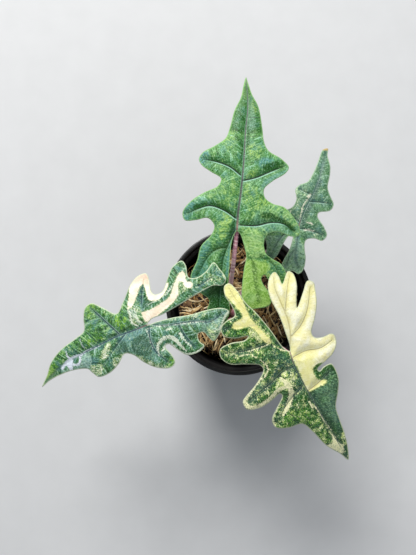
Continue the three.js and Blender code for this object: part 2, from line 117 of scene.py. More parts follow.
# Fine structure of the rest, in millimetres or as a number
STALK_SIDES = 20
STALK_STEP = 1.6
BASE_HOLLOW_RADIUS = 27
BASE_HOLLOW_DEPTH = 0.8
CORNER_RADIUS = 0.9
POT_SIDES = 128
CROWN_KNOB_DEPTH = 14
CROWN_KNOB_INSET = 1.3
CROWN_KNOB_NARROWING = 2.5
CROWN_LEAF_BASES = 9
MIX_EDGE_RADIUS = 49.3
MIX_EDGE_SLUMP = 3.5
MIX_GAP = 0.4
MIX_CRUMB_DEPTH = 2.8
MIX_SIDES = 180
MIX_RINGS = 60
STRAND_REACH = 49.5
# The height, size and seed of each noise that shapes the crumbs
MIX_CRUMBS = ((2.2, 3.2, 1), (1.5, 1.5, 2), (0.6, 0.8, 6))

# The camera, in metres, with its lens in millimetres
CAMERA_PLACE = (-0.02522, -0.04833, 0.73644)
CAMERA_AIM = (-0.02522, 0.01961, 0.090)
CAMERA_LENS = 51.5

# Each leaf: where its blade joins its stalk, how it is aimed, and its flat shape. u runs from the joint to
# the tip and v to the left of it. The outline goes from the tip down the left side, round the sinus and back.
# Angles are in degrees. arch and tail are how far the blade sags 100 mm out, to the front and to the rear.
# rise and reach are how far the stalk's arch runs straight on at its root and at its end.
LEAVES = {
    "back": dict(
        joint=(-4.5, 44, 175), heading=86, pitch=8, arch=22, tail=9,
        root_angle=110, turn=0, rise=68, reach=26,
        outline=[
            (116.5, 0.5), (110, 2), (99.5, 3.5), (89, 7.5), (76, 10), (67.5, 12.5),
            (61, 20), (55.5, 28.5), (50.5, 31), (46, 28.5), (41.5, 21.5), (37, 14),
            (31.5, 16), (26.5, 25), (19, 35), (11, 40), (5.5, 38), (6, 30), (8, 21.5), (3, 16.5),
            (-3.5, 18), (-12.5, 25), (-22.5, 27), (-36, 31), (-44.5, 25.5), (-51, 16.5), (-59.5, 17.5),
            (-68, 12.5), (-70, 6.5), (-63, 2), (-55.5, 1), (-47, 3), (-37, 3.5), (-24.5, 3.5), (-12.5, 3.5),
            (-3.5, 2),
            (0, 0), (-2, -2.5), (-10.5, -6), (-18, -8), (-26, -7), (-37.5, -6.5), (-48, -7), (-55, -11),
            (-54.5, -19), (-51.5, -27.5), (-45.5, -28.5), (-36.5, -21.5), (-32.5, -20), (-30, -22),
            (-34.5, -26), (-41, -32), (-38, -37), (-29, -38), (-21.5, -33.5), (-18, -27), (-14.5, -22),
            (-7, -20), (-0.5, -22.5), (1.5, -30), (-1, -39), (0, -45), (5.5, -45), (12.5, -40.5),
            (19.5, -33), (21.5, -24.5), (25.5, -18.5), (31.5, -17.5), (38, -23.5), (44.5, -32.5),
            (49, -34.5), (54.5, -29), (60, -19), (66, -15.5), (77, -13.5), (92.5, -10), (103, -4.5),
            (112.5, -1),
        ],
        midrib=[(0, 0), (13.5, 0), (29.5, -1), (48, -1.5), (74, -1.5), (93.5, -2), (115, 0.5)],
        veins=[
            [(40.5, 0), (46, 8), (49, 17), (50.5, 27)],
            [(36.5, -1.5), (39.5, -11), (44.5, -21), (49, -30.5)],
            [(9, 1), (14.5, 10.5), (17, 20.5), (14, 29.5), (10.5, 36)],
            [(4.5, -1), (5, -13.5), (8, -24.5), (7.5, -33.5), (3, -41)],
            [(1.5, 1), (-9, 5), (-18.5, 8), (-32, 9), (-50.5, 9.5), (-65, 9)],
            [(-12, 6), (-14, 13.5), (-19, 19), (-34, 26)],
            [(-1.5, -2), (-11.5, -9), (-21.5, -12), (-35.5, -14), (-50, -18)],
            [(-18.5, -11.5), (-18.5, -19.5), (-22.5, -28.5), (-33, -34)],
        ],
    ),
    "left": dict(
        joint=(-69, -22.5, 165), heading=209, pitch=-14, arch=14, tail=12,
        root_angle=200, turn=-19, rise=60, reach=22,
        outline=[
            (102, -0.5), (93, -1.5), (82, -1), (68.5, 1.5),
            (58, 6), (56.5, 9.5), (53.5, 15), (43, 16.5), (34, 14), (26, 10),
            (20.5, 14), (16.5, 22), (9.5, 30.5), (1, 35), (-4, 33), (-4.5, 27), (-3.5, 20),
            (-6.5, 19.5), (-10, 26), (-14.5, 33), (-23.5, 35), (-28.5, 33), (-27, 28.5), (-29, 23.5),
            (-33, 24.5), (-34, 29), (-36, 33.5), (-42, 31), (-50, 24.5), (-56, 20.5), (-53, 16), (-43.5, 12),
            (-31, 9), (-18.5, 4.5), (-7.5, 1.5),
            (0, 0), (-4.5, -2), (-13.5, -1), (-28.5, -1), (-45, -1.5), (-55.5, -1),
            (-61, 2), (-65.5, -0.5), (-65, -9.5), (-63.5, -15.5), (-55.5, -12.5), (-47.5, -12),
            (-43, -15), (-45, -23), (-44, -28), (-36, -27.5), (-29.5, -22.5), (-21, -15.5), (-15, -16.5),
            (-14, -20), (-16, -26.5), (-16.5, -33), (-10.5, -34.5), (-3, -32), (8.5, -23.5),
            (17, -18.5), (24.5, -27.5), (31.5, -35), (37.5, -34.5), (42, -28.5), (46.5, -20),
            (55, -18.5), (71, -17), (84, -12.5), (92, -6.5),
        ],
        midrib=[(0, 0), (11.5, -1.5), (26, -4), (41, -5), (59.5, -6), (78, -5.5), (100.5, -1)],
        veins=[
            [(18, -2.5), (32, 3.5), (44, 9), (51.5, 12.5)],
            [(-0.5, 1), (3.5, 9.5), (4.5, 19.5), (0.5, 31)],
            [(-2, 1), (-11.5, 7), (-22, 11), (-32, 15), (-41, 20.5), (-53, 19)],
            [(-20, 10.5), (-20, 20), (-22, 30.5)],
            [(-3, -1.5), (-14.5, -4.5), (-29.5, -6), (-45, -6), (-57, -6.5)],
            [(-26, -6), (-30.5, -13), (-40, -23)],
            [(0.5, -1), (-1.5, -10), (-6, -20), (-13, -30)],
            [(22.5, -4), (26, -13.5), (30, -24), (33.5, -32)],
        ],
    ),
    "front": dict(
        joint=(33.5, -42, 170), heading=-60, pitch=-16, arch=12, tail=10,
        root_angle=290, turn=24, rise=62, reach=22,
        outline=[
            (101, 0.5), (92, 4), (78.5, 7), (66, 8.5), (55, 10.5),
            (45.5, 17), (37.5, 21.5), (29.5, 23), (24, 22), (23, 16), (24, 12), (22, 11.5),
            (20, 19), (18, 26.5), (13, 32.5), (7, 34), (4.5, 32), (3.5, 26), (0.5, 20.5),
            (-4, 20), (-11, 26.5), (-20, 33.5), (-29, 37.5), (-34, 39), (-37.5, 35.5), (-32.5, 29),
            (-25, 19.5), (-32, 23), (-39.5, 27.5), (-47.5, 29), (-50.5, 26.5), (-45, 18.5),
            (-51, 19), (-55, 18), (-54, 13.5), (-48.5, 8.5), (-40.5, 6), (-26.5, 5.5), (-13, 3.5), (-4, 2),
            (0, 0), (-4, -2.5), (-22.5, -5), (-38, -8), (-46, -10.5), (-56, -11.5), (-64, -14), (-64, -18),
            (-57.5, -21), (-50, -20.5),
            (-42.5, -22), (-42, -28.5), (-39, -35), (-33, -35.5), (-28, -29.5), (-25, -21),
            (-23.5, -24), (-26.5, -34), (-26, -42.5), (-20.5, -45), (-13.5, -42), (-8, -32.5), (-2, -23.5),
            (2, -23), (9, -32.5), (13.5, -42.5), (16.5, -47), (23, -47), (26.5, -38), (25.5, -28), (24, -21),
            (26.5, -20.5), (33.5, -29), (39, -35), (46, -35.5), (51, -27.5), (53.5, -17.5),
            (63, -13.5), (79, -9.5), (92, -3),
        ],
        midrib=[(0, 0), (9.5, -2), (21.5, -2.5), (33, -2.5), (49.5, -2), (68, -1.5), (84, -0.5), (99, 0.5)],
        veins=[
            [(33, -2.5), (31.5, 7.5), (29, 18)],
            [(5, 0), (5.5, 9.5), (9.5, 20), (9.5, 30.5)],
            [(-1.5, 1), (-10.5, 6), (-21, 9.5), (-34, 11), (-45, 12.5), (-52, 15.5)],
            [(-25.5, 10), (-34.5, 16), (-42, 21.5), (-47, 26)],
            [(-9, 6), (-12.5, 16), (-19.5, 25), (-32, 35)],
            [(-2, -2), (-13.5, -6), (-27, -9), (-40, -13), (-51.5, -15.5), (-61, -16)],
            [(-13, -6), (-14.5, -19), (-17, -29), (-21.5, -41)],
            [(-27, -9), (-31, -16.5), (-35.5, -25.5), (-37.5, -32)],
            [(11, -2), (10.5, -11), (13.5, -23.5), (18, -43)],
            [(27, -2.5), (31, -14.5), (36.5, -24.5), (43.5, -33)],
        ],
    ),
    "right": dict(
        joint=(42.5, 48.5, 148), heading=70, pitch=5, arch=20, tail=12,
        root_angle=20, turn=-55, rise=50, reach=30,
        outline=[
            (68.5, -0.5), (66, 3), (56.5, 3.5), (46.5, 4), (38, 6),
            (33.5, 11), (29, 12.5), (23, 9.5), (16.5, 10), (11.5, 14.5), (6, 19.5), (-2, 23), (-10.5, 23),
            (-18, 18.5), (-24.5, 16.5), (-27.5, 12), (-23.5, 9), (-14.5, 7.5), (-7, 6),
            (-2.5, 3), (-7, 2), (-15.5, 1.5), (-25, 3), (-30.5, 2.5), (-31.5, -2.5), (-29.5, -6),
            (-30, -11.5), (-26, -13.5), (-18, -12.5), (-8, -8), (-4, -8),
            (-1, -13), (-0.5, -19.5), (4.5, -21.5), (9.5, -17.5), (15.5, -10),
            (18.5, -10), (23, -17.5), (28.5, -18.5), (33.5, -14), (39, -10), (48.5, -8.5), (55.5, -6.5),
            (63, -2),
        ],
        midrib=[(0, 0.5), (7.5, 1), (20, 0.5), (30, -1), (43.5, -1.5), (56.5, -0.5), (67, 0)],
        veins=[
            [(29.5, -1), (30, 5), (31, 10)],
            [(7, 1), (8, 8.5), (1, 17), (-8, 20)],
            [(0, 2), (-6, 9), (-15.5, 12), (-24, 13)],
            [(-1.5, -0.5), (-11, -2.5), (-20.5, -5), (-26, -10)],
            [(-12.5, -3), (-21, -0.5), (-28, 0)],
            [(2.5, 0), (3.5, -8.5), (3.5, -18)],
            [(24, 0), (26, -7), (28, -16)],
        ],
    ),
}


# Colour markings by leaf and kind, in leaf millimetres. An area is a strength and an outline. A stroke
# is a strength, its half widths along the line, and the line.
AREAS = {
    # Painted sheen: patches of pale highlight colour on the lobes.
    ("back", "frost"): [
        (0.4, [(-1, -3), (2, -14), (-4, -20), (-16, -21), (-17, -12), (-12, -7)]),
        (0.3, [(3, -12), (-2, -24), (-1, -44), (8, -44), (17, -35), (21, -24), (14, -12)]),
        (0.7, [(101, -3), (84, -8), (76, -8), (76, -3), (90, -3)]),
        (0.7, [(30, -13), (38, -18), (46, -31), (50, -34), (40, -33), (28, -20)]),
        (0.6, [(4, -16), (8, -25), (5, -38), (-1, -40)]),
    ],
    ("back", "lime"): [
        (1.2, [(100, 2), (117, 1), (102, -6), (98, -3)]),
        (1.3, [(99, -3), (99, -8), (87, -8), (90, -4)]),
        (0.9, [(65, 15), (75, 9), (73, 5), (64, 5), (58, 10)]),
        (1.2, [(62, -3), (65, -9), (61, -14), (55, -14), (53, -7)]),
        (2, [(40, -3.5), (45, -8.5), (43.5, -11.5), (40, -9), (38.5, -4.5)]),
        (1.2, [(35, -4), (33.5, -7), (22.5, -7), (19, -3.5)]),
        (0.8, [(33, -7), (33, -16), (15, -14), (7, -7), (19, -6)]),
        (2.2, [(23, -32), (17, -40), (2, -47), (2, -42), (14, -33), (18, -28)]),
        (0.6, [(26, 25), (30, 17), (25, 12), (20, 19)]),
        (1.6, [(10, 11.5), (14.5, 7.5), (12, 4.5), (-4, 7.5), (-7.5, 11.5), (1.5, 13)]),
        (0.7, [(8, 18), (6, 13), (-6, 10), (-14, 9), (-16, 15)]),
        (0.8, [(-1, -3), (4, -11), (3, -21), (-12, -22), (-18, -19), (-19, -10), (-10, -6)]),
        (2.2, [(-1, -4), (1.5, -14), (-2, -18), (-16.5, -20), (-17, -12.6), (-14, -8.5)]),
        (1.2, [(-20, -20), (-19, -31), (-27, -38), (-40, -38), (-42, -33), (-34, -26), (-30, -22)]),
        (1.4, [(3, -3), (3, -22), (1, -34), (-2, -46), (-4, -8)]),
        (2.1, [(25, -14), (25, -26), (1, -49), (1, -43), (7, -36), (11, -28), (11.5, -16)]),
        (0.7, [(37, 15), (38, 2), (18, 0), (17, 13)]),
    ],
    # Deep: marks that are mostly painted shade, on vein flanks and on lobes that lie in shade, partly the
    # leaf's own deep green.
    ("back", "deep"): [
        (0.65, [(74, 12), (92, 6), (108, 3), (108, -3), (92, -11), (74, -15)]),
        (1, [(22, 1.5), (16.5, 2), (2, 4.5), (-4, 5.5), (-1, 3), (15, 0)]),
        (1, [(52, 22.5), (51.5, 18), (48.5, 12), (42.5, 2), (42, 4.5), (47.5, 15.5), (49, 21.5)]),
        (1.1, [(47, -15), (52.5, -25.5), (50, -28.5), (47.5, -27), (45, -21)]),
        (1.1, [(16.5, 33), (18, 28), (19.5, 19.5), (17.5, 10.5), (12, 3), (11.5, 4.5), (15.5, 12),
            (17.5, 20), (16, 27.5), (14.5, 32.5)]),
        (1.1, [(13.5, -16), (15, -22.5), (13, -27), (11, -33), (6.5, -40), (3, -42.5), (3.5, -38), (8, -31),
            (10.5, -24.5), (10.5, -18)]),
        # Painted shadow: the left foot, which lies under the left leaf's tail.
        (1, [(-42, 16), (-33, 13), (-32, 6), (-62, 0), (-72, 10), (-58, 19)]),
        (0.9, [(-15, -17), (-16, -22), (-19, -23), (-18, -18)]),
    ],
    # Teal: partly painted reflection of bluish light on the lobes, partly their own bluish tone.
    ("back", "teal"): [
        (1.1, [(6, 39), (13, 41), (19, 36), (18, 31), (11, 33), (5, 36)]),
        (1.2, [(47, 31), (52, 32), (57, 26), (52, 23), (47, 27)]),
        (1.1, [(50, -12), (54, -15), (53, -23), (49.5, -17.5), (46.5, -15)]),
        (0.8, [(33, -16), (38, -18), (47, -35), (38, -28)]),
        (0.9, [(-20, 26), (-36, 31), (-44, 26), (-40, 20), (-24, 20)]),
        (0.9, [(-14, 28.5), (-6, 24), (-10.5, 18.5), (-28.5, 25)]),
        (1.2, [(-46, -8.5), (-43.6, -13), (-46, -17), (-50, -16), (-50.2, -10.2)]),
        (0.4, [(-21.9, -25), (-19.5, -31.2), (-26.7, -37), (-31, -35.3), (-28, -28.6)]),
    ],
    ("back", "smooth"): [
        (1, [(-20, -8), (-20.5, -19), (-23, -24.5), (-28.5, -23), (-34, -22), (-52, -29), (-57, -15),
            (-46.5, -6), (-31, -6.5)]),
        (0.55, [(-1, -3), (2, -14), (-4, -20), (-16, -21), (-17, -12), (-12, -7)]),
    ],
    ("back", "level"): [
        (1, [(3, 0), (2, -10), (-10, -22), (-24, -26), (-44, -30), (-58, -32), (-60, -12), (-46, -4),
            (-14, -4)]),
    ],
    ("left", "cream"): [
        (1, [(7, -17), (2, -25), (-2.5, -33.5), (-7, -37), (-16.5, -35), (-25.5, -20), (-28, -19),
            (-24, -14.5), (-18.5, -12), (-12.5, -13), (-10, -15.5), (-11, -27.5), (-9, -27), (3.5, -17)]),
        (1, [(-0.5, -2), (0, -6.5), (-1, -9.5), (-6.5, -8.5), (-18, -8.5), (-24.5, -9.5), (-30.5, -15),
            (-38, -20.5), (-41.5, -20.5), (-41.5, -17), (-40.5, -13.5), (-43.5, -10.5), (-41.5, -7.5),
            (-37.5, -10), (-37.5, -14.5), (-35, -15), (-31.5, -9), (-28, -6), (-16, -3), (-8, -2)]),
    ],
    ("left", "silver"): [
        (1, [(78.5, -4.5), (75.8, -6.3), (70.4, -7.6), (67, -8.5), (65.8, -5), (70.4, 0.8), (72.1, -0.8),
            (72.5, -4), (74.8, -4.2), (77.1, -3)]),
    ],
    ("left", "fleck"): [
        (1.2, [(7, -17), (1, -18), (-2, -12), (1, -6), (6, -3), (10, -6)]),
        (1.6, [(-33.5, -16), (-38, -15.5), (-38, -9), (-34, -6.5), (-30.5, -8.5)]),
        (1.6, [(-37.5, 23.5), (-41, 22), (-45, 24), (-43, 29.5), (-36.5, 33), (-35, 28)]),
        (2.4, [(44, 3), (34, -3), (31, -2), (38, 5), (43, 6)]),
        (2, [(54, 5), (46.5, 8.5), (45.5, 12), (51.5, 14), (56.5, 12.5)]),
        (1.6, [(36.5, 9), (29, 8.5), (23, 10.5), (20, 14.5), (37.5, 15)]),
        (1.1, [(-10, 1.5), (-44, 12), (-36, 15.5), (-23, 9.5)]),
        (1.8, [(17, 17), (8.5, 27), (4, 31), (0, 33), (5, 34.5), (19, 19)]),
        (0.6, [(-35, -3), (-62, 0), (-65, -12), (-48, -12), (-42, -8)]),
    ],
    # Painted sheen: patches of pale highlight colour on the lobes.
    ("left", "frost"): [
        (1, [(79, -3), (72, -1), (63.7, 0.2), (59, -1.5), (55.7, -5.7), (51, -4), (51.3, 2), (55.7, 5.5),
            (62.1, 3.5), (76, 1)]),
        (0.5, [(-34, 19), (-45.5, 19.6), (-55, 21), (-37.6, 34), (-33, 30)]),
        (0.25, [(2, 2), (24, 0), (32, 6), (20, 12), (8, 26), (2, 18)]),
    ],
    ("left", "lime"): [
        (0.55, [(38, -36), (31, -36), (16, -19), (8, -23), (5, -21), (11, -12), (11, -5), (21, -5),
            (39, -6), (61, -8), (80, -6), (99, 0), (87, -11), (71, -17), (46, -20)]),
        (2, [(40, -35), (33, -37), (30, -34), (33, -28), (40, -28)]),
        (1.5, [(20, -17), (13, -16), (12, -9), (20, -7)]),
        (1, [(35, -11.5), (45.5, -13.5), (51, -13.5), (52, -9), (41.5, -7.5), (34, -7)]),
        (1.6, [(104, 0), (84, -12), (79, -9), (79, -6), (93, -1)]),
        (1.2, [(-2, 28), (-4, 31), (-4, 35), (3, 34)]),
    ],
    ("left", "deep"): [
        (0.7, [(6, 5), (14, 4), (19, 10), (14, 18), (8, 20), (5, 12)]),
        (0.6, [(24, -1), (30, 1), (30, 6), (24, 9), (20, 5)]),
        (0.7, [(-11, -12), (-14, -19), (-12, -27), (-9, -19), (-3, -12)]),
    ],
    ("left", "teal"): [
        (1, [(24, -2.5), (14, -1), (5.5, -0.5), (7, 4), (26.5, 1.5)]),
        (0.8, [(60, 0), (50, -0.5), (46, 4.5), (53, 6), (58, 4)]),
        (0.5, [(2, 2), (24, 0), (32, 6), (20, 12), (8, 26), (2, 18)]),
    ],
    ("left", "smooth"): [
        (0.45, [(104, 0), (86, -10), (84, -5), (92, -1)]),
        (0.3, [(39, -34), (33, -36), (29, -32), (32, -27), (40, -28)]),
    ],
    ("left", "level"): [
        (1, [(2, 1), (0, -14), (-22, -13), (-34, -22), (-44, -24), (-44, -4), (-20, 0)]),
        (0.6, [(22, -1), (34, 3), (48, 9), (54, 14), (50, 16), (36, 9), (20, 1)]),
    ],
    ("left", "blush"): [
        (1, [(-4, -35), (-17, -35), (-17.5, -28), (-14, -25), (-11.5, -29), (-6.5, -30.5)]),
    ],
    ("front", "cream"): [
        (1, [(0, -1), (-42, 4), (-58, 19), (-33, 44), (12, 36), (21, 20), (19, 16), (18, 11), (20, 8),
            (27, 7), (30, 9), (33, 13), (34, 11), (34, 5), (33, -2), (24, -2), (14, -1)]),
        (1, [(-64, -19), (-64, -12.5), (-52, -12), (-43, -12.5), (-35, -13), (-26, -11), (-13.5, -8.5),
            (-13, -10.5), (-17, -13), (-28, -15), (-31, -17), (-33.5, -25), (-35.5, -27.5), (-38.5, -25),
            (-39, -18), (-42, -17), (-49.5, -18.5), (-58, -20.5)]),
    ],
    ("front", "pale"): [
        (0.3, [(38, -6.5), (39.5, -4), (45, -3.5), (48.5, -4.5), (46, -7), (42, -7)]),
        (0.85, [(71.5, -1.5), (75, -0.5), (82, 0), (86.5, 2), (93.5, -1), (90, -3.5), (79, -9), (79, -4),
            (75, -3)]),
    ],
    ("front", "yellow"): [
        (0.9, [(-68, -22), (-68, -8), (-10, -6), (-10, -14), (-30, -30)]),
        (0.7, [(36, -3), (12, -3), (2, 2), (6, 10), (18, 14), (36, 14)]),
    ],
    ("front", "fleck"): [
        (1.6, [(-39, -12), (-31.5, -10.5), (-16.5, -6.5), (-17, -9), (-30.5, -12.5)]),
        (1.6, [(-30.5, -17), (-21, -14), (-16.5, -13.5), (-16.5, -16), (-29.5, -19.5)]),
        (1.3, [(76, 8), (86, 6), (89, 3.5), (78, 3.5)]),
        (1.6, [(18, -22), (11, -14), (11, -7), (19, -5), (24, -11)]),
        (0.5, [(43, -34.5), (43, -28), (40, -20), (42, -9), (54.5, -3.5), (73, -3), (58, -15.5), (52, -19),
            (49.5, -29.5)]),
        (0.6, [(37, -35), (32, -28), (33, -18), (38, -8), (43, -10), (42, -28)]),
        (0.5, [(-40, -36), (-28, -32), (-24, -20), (-10, -14), (-14, -44), (-26, -46)]),
        (0.45, [(-4, -20), (12, -32), (20, -46), (26, -40), (24, -20), (10, -10)]),
        (0.7, [(55, -13), (56, -4), (76, -3), (90, -4), (76, -11)]),
    ],
    # Painted sheen: patches of pale highlight colour on the lobes.
    ("front", "frost"): [
        (0.4, [(-16.7, -34), (-15.6, -27.9), (-11.9, -23), (-9, -24.2)]),
        (0.8, [(14.7, -46), (13, -38), (8.6, -28), (11.6, -26), (17, -35.7), (19, -43)]),
        (0.3, [(34, 4), (34, 24), (60, 10), (60, 2)]),
        (0.45, [(40, 6), (40, 14), (48, 14), (68, 4), (56, 4)]),
    ],
    ("front", "lime"): [
        (1.4, [(39, -36), (33, -28), (41, -20), (43, -10), (58, -9), (54, -17), (49, -34)]),
        (0.9, [(58, -13), (56, -6), (74, -4), (90, -3), (82, -9)]),
        (1.2, [(-36, -34), (-34, -24), (-29, -18), (-25, -21), (-29, -30)]),
        (0.7, [(-24, -42), (-22, -28), (-14, -14), (-8, -20), (-14, -40)]),
        (1.3, [(-27, -10), (-25, -6), (-7, -3.3), (1, -1), (0.6, -3.6), (-11, -7.6), (-19.5, -10.7)]),
    ],
    ("front", "deep"): [
        (0.4, [(33, -4), (36, -2), (47, -0.5), (57, 0), (57, -1.5), (45, -3), (36.5, -6)]),
        (0.4, [(59, 1.5), (66, 4), (74.5, 5.5), (76.5, 3), (74, 0), (69, -1), (60, -1.5)]),
    ],
    ("front", "teal"): [
        (1, [(43, 9), (43.5, 14), (53, 11.5), (67.5, 8), (68, 4)]),
        (0.6, [(36, 0), (36, 20), (50, 14), (76, 6), (84, 4), (60, 1)]),
        (0.7, [(-10, -9), (-4, -7), (2.5, -3), (15, -3.5), (30.5, -3.5), (29.5, -8), (17.5, -8.5), (5, -9),
            (-4.5, -13)]),
    ],
    ("front", "level"): [
        (0.6, [(-50, -8), (-12, -3), (-14, -14), (-28, -22), (-50, -22)]),
        (1, [(-25, -9), (-28, -20), (-36, -30), (-41, -28), (-38, -14)]),
    ],
    ("front", "calm"): [
        (1, [(34, 0), (34, 12), (22, 12), (24, 24), (66, 9), (76, 5), (72, 1), (60, 0)]),
    ],
    ("right", "pale"): [
        (0.6, [(25, 0.5), (30, -0.5), (31, 1.5), (27, 3.5)]),
    ],
    ("right", "fleck"): [
        (1.2, [(29, 12), (32, 10), (32, 6), (28, 6), (27, 10)]),
        (1, [(-3, -12), (3, -12), (4, -16), (2, -21)]),
        (0.8, [(6, 2), (30, 2), (30, 12), (12, 13)]),
    ],
    # Painted sheen: patches of pale highlight colour on the lobes.
    ("right", "frost"): [
        (0.15, [(2, 2), (2, 6), (22, 8), (30, 10), (40, 5), (40, 0), (20, 1.5)]),
        (0.15, [(-2, -8), (2, -21), (6, -12), (4, -5)]),
        # Painted light: lightens the rear lobes where the back leaf's blade shades them.
        (0.8, [(-6, 2), (-14, 24), (-32, 14), (-34, -14), (-14, -12), (-6, -4)]),
    ],
    ("right", "lime"): [
        # Painted light: the same rear lobes made limier and lighter against the back leaf's shadow.
        (1.9, [(-4, 2), (-12, 24), (-32, 14), (-34, -14), (-14, -12), (-4, -4)]),
        (0.7, [(-19, -10), (-28, -13), (-31, -5)]),
        (0.5, [(14, -10), (24, -16), (20, -8), (10, -8)]),
    ],
    ("right", "teal"): [
        (1, [(24, -2), (27, -2), (28, -4), (24, -4)]),
    ],
    ("right", "tip"): [
        (1, [(66, 4), (70, 4), (68, -2)]),
    ],
}

STROKES = {
    ("back", "line"): [
        (1, (0.2,), [(84, -3.5), (84, -7.5), (84.5, -12)]),
        (1, (0.2,), [(69, -3), (70, -9), (70.5, -13.5)]),
        (1, (0.1,), [(76.5, -3), (77.5, -7.5), (77.5, -11)]),
        (1, (0.1,), [(73, 1), (73.5, 4), (73.5, 8)]),
    ],
    ("back", "lime"): [
        (1.6, (1.4,), [(-21.5, -8), (-31, -8), (-42, -7.5), (-50, -8.5)]),
        (1.6, (2.2,), [(-54, -13), (-51, -28)]),
    ],
    # Deep strokes: mostly painted shade beside the veins and the midrib.
    ("back", "deep"): [
        (0.8, (0.35,), [(-18, -9.8), (-18.2, -12.6), (-19, -15.5), (-18.2, -20)]),
        (0.9, (1,), [(79, -3), (71, -3.6), (62, -3.6)]),
        (1, (1.6,), [(87.5, 3.5), (85, 2.5), (82, 0.5)]),
        (1, (1.4,), [(74, 5.5), (73, 2.5), (75.5, 0.5)]),
        (0.9, (1.3,), [(68, 5), (65.5, 2), (61.5, 0)]),
        (0.9, (0.8,), [(60, 0), (49, 0.8)]),
        (0.9, (1.1,), [(-12, 5.5), (-13.5, 10.5), (-14, 15.5)]),
    ],
    ("back", "teal"): [
        (1.2, (1.3,), [(2, 1.2), (-12, 4), (-22, 4.6), (-32, 4.6)]),
    ],
    ("left", "pale"): [
        (1, (0.2, 0.6, 0.7, 0.3), [(-7.5, -12.5), (-19, -12), (-28.5, -14.5), (-31, -16.5)]),
        (1, (1.2, 0.8, 0.6), [(7, -17), (7.5, -12.5), (9, -9), (9, -5.5), (6.5, -3)]),
        (1, (0.3, 0.8, 0.9), [(2, -17), (4.5, -6.5), (3, -3.5)]),
        (1, (0.5, 0.3), [(4, -18), (5, -14), (6, -9)]),
        (1, (0.7, 1.4, 1.6, 0.5), [(3.5, 23), (1.5, 18), (-1.5, 15.5), (-5.5, 14.5), (-10, 15.5),
            (-12.5, 18.5), (-14, 24), (-15.5, 30)]),
        (1, (0.9, 1.1, 0.6), [(-0.5, 21.5), (-3.5, 19.5), (-6, 19.5), (-8.5, 22), (-10.5, 28), (-14, 32),
            (-19, 34), (-25, 34), (-29, 33)]),
        (1, (0.8, 0.3), [(-18, 17), (-18, 21), (-20, 29)]),
        (1, (0.8, 0.4), [(-11, 10), (-15, 11.5)]),
        (1, (0.7,), [(-56, 20), (-52, 22), (-44, 28)]),
        (1, (0.3,), [(2, 2.5), (-7, 5), (-18, 10), (-28.5, 14), (-37, 18)]),
        (1, (0.25,), [(2.5, 2), (3.5, 8), (5, 16)]),
    ],
    ("left", "line"): [
        (1, (0.3,), [(45, -17.5), (42.5, -14), (40.5, -7)]),
    ],
    ("left", "silver"): [
        (1, (0.5, 0.9), [(67.1, -13.3), (67.6, -10.4), (66.8, -6.3)]),
        (1, (0.9, 0.8), [(68.6, -7.6), (63.2, -7), (56.9, -5.6)]),
        (1, (0.9,), [(66.5, -2.2), (63.2, -0.6), (60.5, -1.8), (59, -4.6)]),
        (1, (0.7, 0.3), [(58, -5.4), (52.3, -6), (41.4, -4.4)]),
        (0.9, (0.35,), [(52.1, -15.7), (52.2, -11.5), (52.1, -7.6)]),
    ],
    ("left", "fleck"): [
        (2, (1.2,), [(-54, -6), (-58, -5), (-62, -3), (-65, -3)]),
    ],
    # Painted sheen: thin pale highlight lines along the rear veins.
    ("left", "frost"): [
        (1.3, (0.2,), [(-0.5, -0.9), (-17.2, 5.7), (-33.8, 11.4), (-53.5, 17)]),
        (1.3, (0.1,), [(-2.4, 1.8), (-18.1, 9.9), (-37.4, 19.6)]),
    ],
    ("left", "deep"): [
        (0.8, (1.2,), [(12, -5), (20, -5.5), (30, -6.5)]),
    ],
    ("left", "teal"): [
        (1.2, (1.4,), [(-4, 0), (-28, 0), (-45, -1), (-57, 1)]),
    ],
    ("front", "pale"): [
        (1, (0.5, 0.3), [(-13, -9), (-13, -15), (-14, -20), (-15, -26)]),
        (0.8, (0.6,), [(-16, -37), (-15, -32), (-13.5, -27), (-9, -23)]),
        (0.9, (0.7,), [(-5, -21), (-2, -20), (3, -20), (7, -25)]),
        (1, (0.6, 1.7, 1.4), [(6.5, -27), (14, -41.5), (16.5, -45.5), (22, -45), (24.5, -39.5), (24, -32),
            (22.5, -26), (20.5, -20.5), (20.5, -15)]),
        (1, (1, 1.8, 2, 1.8, 1.4, 0.6), [(14, -15), (19, -13), (25, -13), (31.5, -16.5), (40, -26.5)]),
        (1, (0.4,), [(29, -23.5), (35, -29.5), (40, -34.5), (45, -35)]),
        (1, (0.4, 0.2), [(45.5, -3.5), (51.5, -2.5), (58, -2.5), (65, -1.5), (70.5, -1)]),
        (1, (0.35,), [(-11, -9), (-6, -6), (-2, -3)]),
    ],
    ("front", "teal"): [
        (0.9, (2,), [(4.8, -3.4), (5.9, -12.2), (10.6, -20.7), (14.6, -28)]),
    ],
    ("right", "pale"): [
        (1, (0.7, 0.9, 0.4), [(2.5, -4), (3.5, -7), (4, -11)]),
        (1, (0.6,), [(8.5, -4), (8.5, -8)]),
        (0.9, (0.5, 0.8, 0.5), [(8, 2), (14, 2.5), (19, 3), (27, 1)]),
    ],
    ("right", "deep"): [
        (0.9, (1.6,), [(5.5, -1.5), (23, -1.8), (32, -2.6), (42, -2.8)]),
    ],
    ("right", "teal"): [
        (1, (1.2,), [(-4, -1.5), (-22, -6)]),
    ],
}

# Depths are kept in millimetres, so that the edges of these markings stay crisp, and a weaker one is drawn
# smaller by up to WEAK_INSET. The other kinds rise from 0 to their strength over their softness.
DEPTH_KINDS = ("cream", "pale", "line", "silver")
MARKING_SOFTNESS = dict(yellow=3.0, fleck=1.5, frost=1.2, lime=1.8, deep=0.9, teal=1.5, smooth=1.5,
                        level=2.5, calm=2.0, tip=1.0, blush=1.5)
FAR_OUTSIDE = -9.0
WEAK_INSET = 1.6
